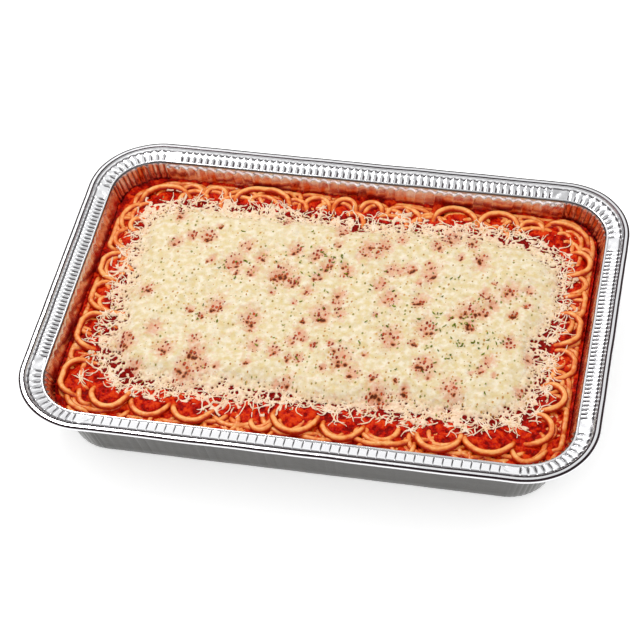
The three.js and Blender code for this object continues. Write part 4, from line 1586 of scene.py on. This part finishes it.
@dataclass
class HerbFlakes:
    """Dried green herb sprinkled over the cheese, thickest in two places."""

    sheet: CheeseSheet
    # x, y, how far it reaches along and across, and how thickly it lies
    spots: tuple[tuple[float, ...], ...] = (
        (-18, 33, 30, 15, 1.0), (78, -8, 22, 26, 1.0), (20, -8, 60, 20, 0.3),
    )  # fmt: skip
    ground: float = 0.015
    host_step: float = 3.0

    def build(self, recipe: Recipe, material: Material) -> Object:
        """Every flake as one piece.

        Args:
            recipe: The tree that scatters them.
            material: Their finish.

        Returns:
            The piece.
        """
        x, y = np.meshgrid(np.arange(-112, 113, self.host_step), np.arange(-50, 66, self.host_step))
        top, _ = self.sheet.surfaces(x, y)
        herb = np.full(x.shape, self.ground)
        for cx, cy, rx, ry, strength in self.spots:
            herb = herb + strength * np.exp(-(((x - cx) / rx) ** 2) - ((y - cy) / ry) ** 2)
        faces = np.stack(corners(np.arange(x.size).reshape(x.shape)), -1).reshape(-1, 4).tolist()
        points = np.stack([x, y, top + 0.15], -1).reshape(-1, 3)
        host = mesh_piece("herb host", points, faces, values={"herb": herb.ravel()})
        return recipe.run(host, "herb_flakes", Per_Square_Metre=26000.0, Finish=material)


# ---------------------------------------------------------------- the studio
class Quarter(Enum):
    """Where a studio light hangs, in metres from the tray."""

    BACK_LEFT = (-0.55, 0.6, 1.25)
    FRONT_RIGHT = (0.7, -0.9, 1.3)


@dataclass
class Studio:
    """A pale floor, a bright even room, two soft lights and the camera."""

    floor_size: float = 40.0
    floor_z: float = -0.15  # just under the tray, so that the two don't share a plane
    key_watts: float = 7.5
    fill_watts: float = 2.0
    key_size: float = 0.45
    peak: float = 1.25
    table_glow: float = 0.46
    # the room's light from the floor line (0) to overhead (1), as a share of its peak
    glow: tuple[tuple[float, float], ...] = (
        (0.0, 0.16), (0.2, 0.25), (0.35, 0.95), (0.47, 1.0),
        (0.62, 0.78), (0.75, 0.78), (0.87, 0.56), (1.0, 0.36),
    )  # fmt: skip
    camera_at: tuple[float, float, float] = (0.2193, -0.8456, 0.9967)
    right: tuple[float, float, float] = (0.9797, 0.1926, -0.0547)
    up: tuple[float, float, float] = (-0.106, 0.7307, 0.6744)
    ahead: tuple[float, float, float] = (-0.1699, 0.655, -0.7363)
    lens: float = 125.67
    shift: tuple[float, float] = (-0.0156, -0.032)

    def build(self) -> None:
        """Puts up the floor, the room, the lights and the camera."""
        half = self.floor_size / 2 / MM
        around = [(x * half, y * half, self.floor_z) for x, y in ((-1, -1), (1, -1), (1, 1), (-1, 1))]
        paper = MattFinish("white studio paper", "#FAFAFA", "#F8F8F8", patch_mm=400.0, roughness=0.9).build()
        lit = paper.node_tree.nodes["Principled BSDF"].inputs
        lit["Emission Color"].default_value = (1, 1, 1, 1)
        lit["Emission Strength"].default_value = self.table_glow
        mesh_piece("floor", around, [[0, 1, 2, 3]], paper)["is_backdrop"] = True
        self._room()
        self._light("key", Quarter.BACK_LEFT, self.key_watts, self.key_size)
        self._light("fill", Quarter.FRONT_RIGHT, self.fill_watts, self.key_size * 2)
        self._camera()
        bpy.context.scene.view_settings.view_transform = "Standard"

    def _room(self) -> None:
        """The room's light: bright overhead, dark towards the floor line, and plain white as a backdrop."""
        world = bpy.data.worlds.new("studio room")
        bpy.context.scene.world = world
        world.use_nodes = True
        tree = world.node_tree
        way = add_node(tree, "ShaderNodeTexCoord").outputs["Generated"]
        height = add_node(tree, "ShaderNodeSeparateXYZ", (way,)).outputs["Z"]
        glow = set_stops(add_node(tree, "ShaderNodeValToRGB", (height,)), self.glow)
        glow = add_node(tree, "ShaderNodeMath", (glow, self.peak), operation="MULTIPLY")
        seen = add_node(tree, "ShaderNodeLightPath").outputs["Is Camera Ray"]
        strength = add_node(tree, "ShaderNodeMix", {0: seen, 2: glow, 3: 1.0}, data_type="FLOAT")
        light = tree.nodes["Background"].inputs
        light["Color"].default_value = (1, 1, 1, 1)
        tree.links.new(strength.outputs[0], light["Strength"])

    def _light(self, name: str, quarter: Quarter, watts: float, size: float) -> None:
        """One square soft light that points at the tray.

        Args:
            name: Its name.
            quarter: Where it hangs.
            watts: Its power.
            size: Its side in metres.
        """
        data = bpy.data.lights.new(name, "AREA")
        data.energy, data.size = watts, size
        lamp = bpy.data.objects.new(name, data)
        lamp.location = quarter.value
        lamp.rotation_euler = lamp.location.to_track_quat("Z", "Y").to_euler()
        bpy.context.scene.collection.objects.link(lamp)

    def _camera(self) -> None:
        """The camera, looking down on the tray from the front and a little from the right."""
        data = bpy.data.cameras.new("camera")
        data.lens, data.sensor_width = self.lens, 36.0
        data.shift_x, data.shift_y = self.shift
        data.clip_start, data.clip_end = 0.05, 100.0
        camera = bpy.data.objects.new("camera", data)
        columns = (self.right, self.up, tuple(-c for c in self.ahead), self.camera_at)
        camera.matrix_world = Matrix([*zip(*columns), (0, 0, 0, 1)])
        bpy.context.scene.collection.objects.link(camera)
        bpy.context.scene.camera = camera


# ---------------------------------------------------------------- the meal
def settle(piece: Object, node: str) -> None:
    """Puts a finished piece on the root, hides the CAD part that it stands for and logs its triangles.

    Args:
        piece: The piece, which rides on the root.
        node: The CAD node it stands for.
    """
    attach(piece, "root")
    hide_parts(node)
    piece.data.calc_loop_triangles()
    LOG.info("%s: %d triangles", piece.name, len(piece.data.loop_triangles))


def main() -> None:
    """Builds the meal from the tray up, then the studio round it."""
    logging.basicConfig(level=logging.INFO, format="%(name)s: %(message)s")
    grain, strands = Grain(seed=11), tube_recipe()

    tray = FoilTray()
    settle(tray.build(grain, FoilFinish().build()), "foil_tray")

    spaghetti = Spaghetti(tray)
    loops = spaghetti.loops()
    paths = [spaghetti.path(loop) for loop in loops]
    noodle = NoodleFinish().build()
    settle(spaghetti.bed(noodle), "spaghetti")
    host = line_host("noodle lines", paths)
    bends = {"Sides": 10, "Wander": 0.9 * MM, "Wander_Size": 14 * MM}
    noodles = strands.run(host, "spaghetti_loops", Finish=noodle, **bends)
    settle(noodles, "spaghetti")

    sauce = TomatoSauce(tray)
    settle(sauce.build(loops, grain, SauceFinish().build()), "tomato_sauce")

    below = HeightMap(half_x=150, half_y=100, step=0.8)
    below.z = sauce.height(*np.meshgrid(below.xs, below.ys), loops, grain)[0]
    for path in paths:
        below.raise_to(path)
    below.blur(reach=1.6)
    sheet = CheeseSheet(below, grain)
    mozzarella = CheeseFinish().build("melted mozzarella")
    skin = sheet.build("cheese_skin", step=0.8, low=7.0, high=99.0, finish=mozzarella)
    settle(skin, "melted_cheese")
    fringe = sheet.build("cheese_fringe", step=0.5, low=-20.0, high=8.5, finish=mozzarella)
    settle(fringe, "melted_cheese")
    pale = CheeseFinish("#F2CDA4", "#F8DCBC", "#FBE8D2", pink="#F8BE96").build("mozzarella threads")
    host = line_host("thread lines", CheeseThreads(sheet, below).lines())
    bends = {"Sides": 6, "Wander": 0.5 * MM, "Wander_Size": 3 * MM}
    threads = strands.run(host, "cheese_threads", Finish=pale, **bends)
    settle(threads, "melted_cheese")
    herb = MattFinish("dried parsley", "#545C08", "#8A901E", patch_mm=1.5, roughness=0.75).build()
    settle(HerbFlakes(sheet).build(flake_recipe(), herb), "melted_cheese")

    Studio().build()
    boxes = {"cad": CAD_BOX, "visual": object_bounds()}
    {key: [[float(c) for c in corner] for corner in box] for key, box in boxes.items()}


if __name__ == "__main__":
    main()
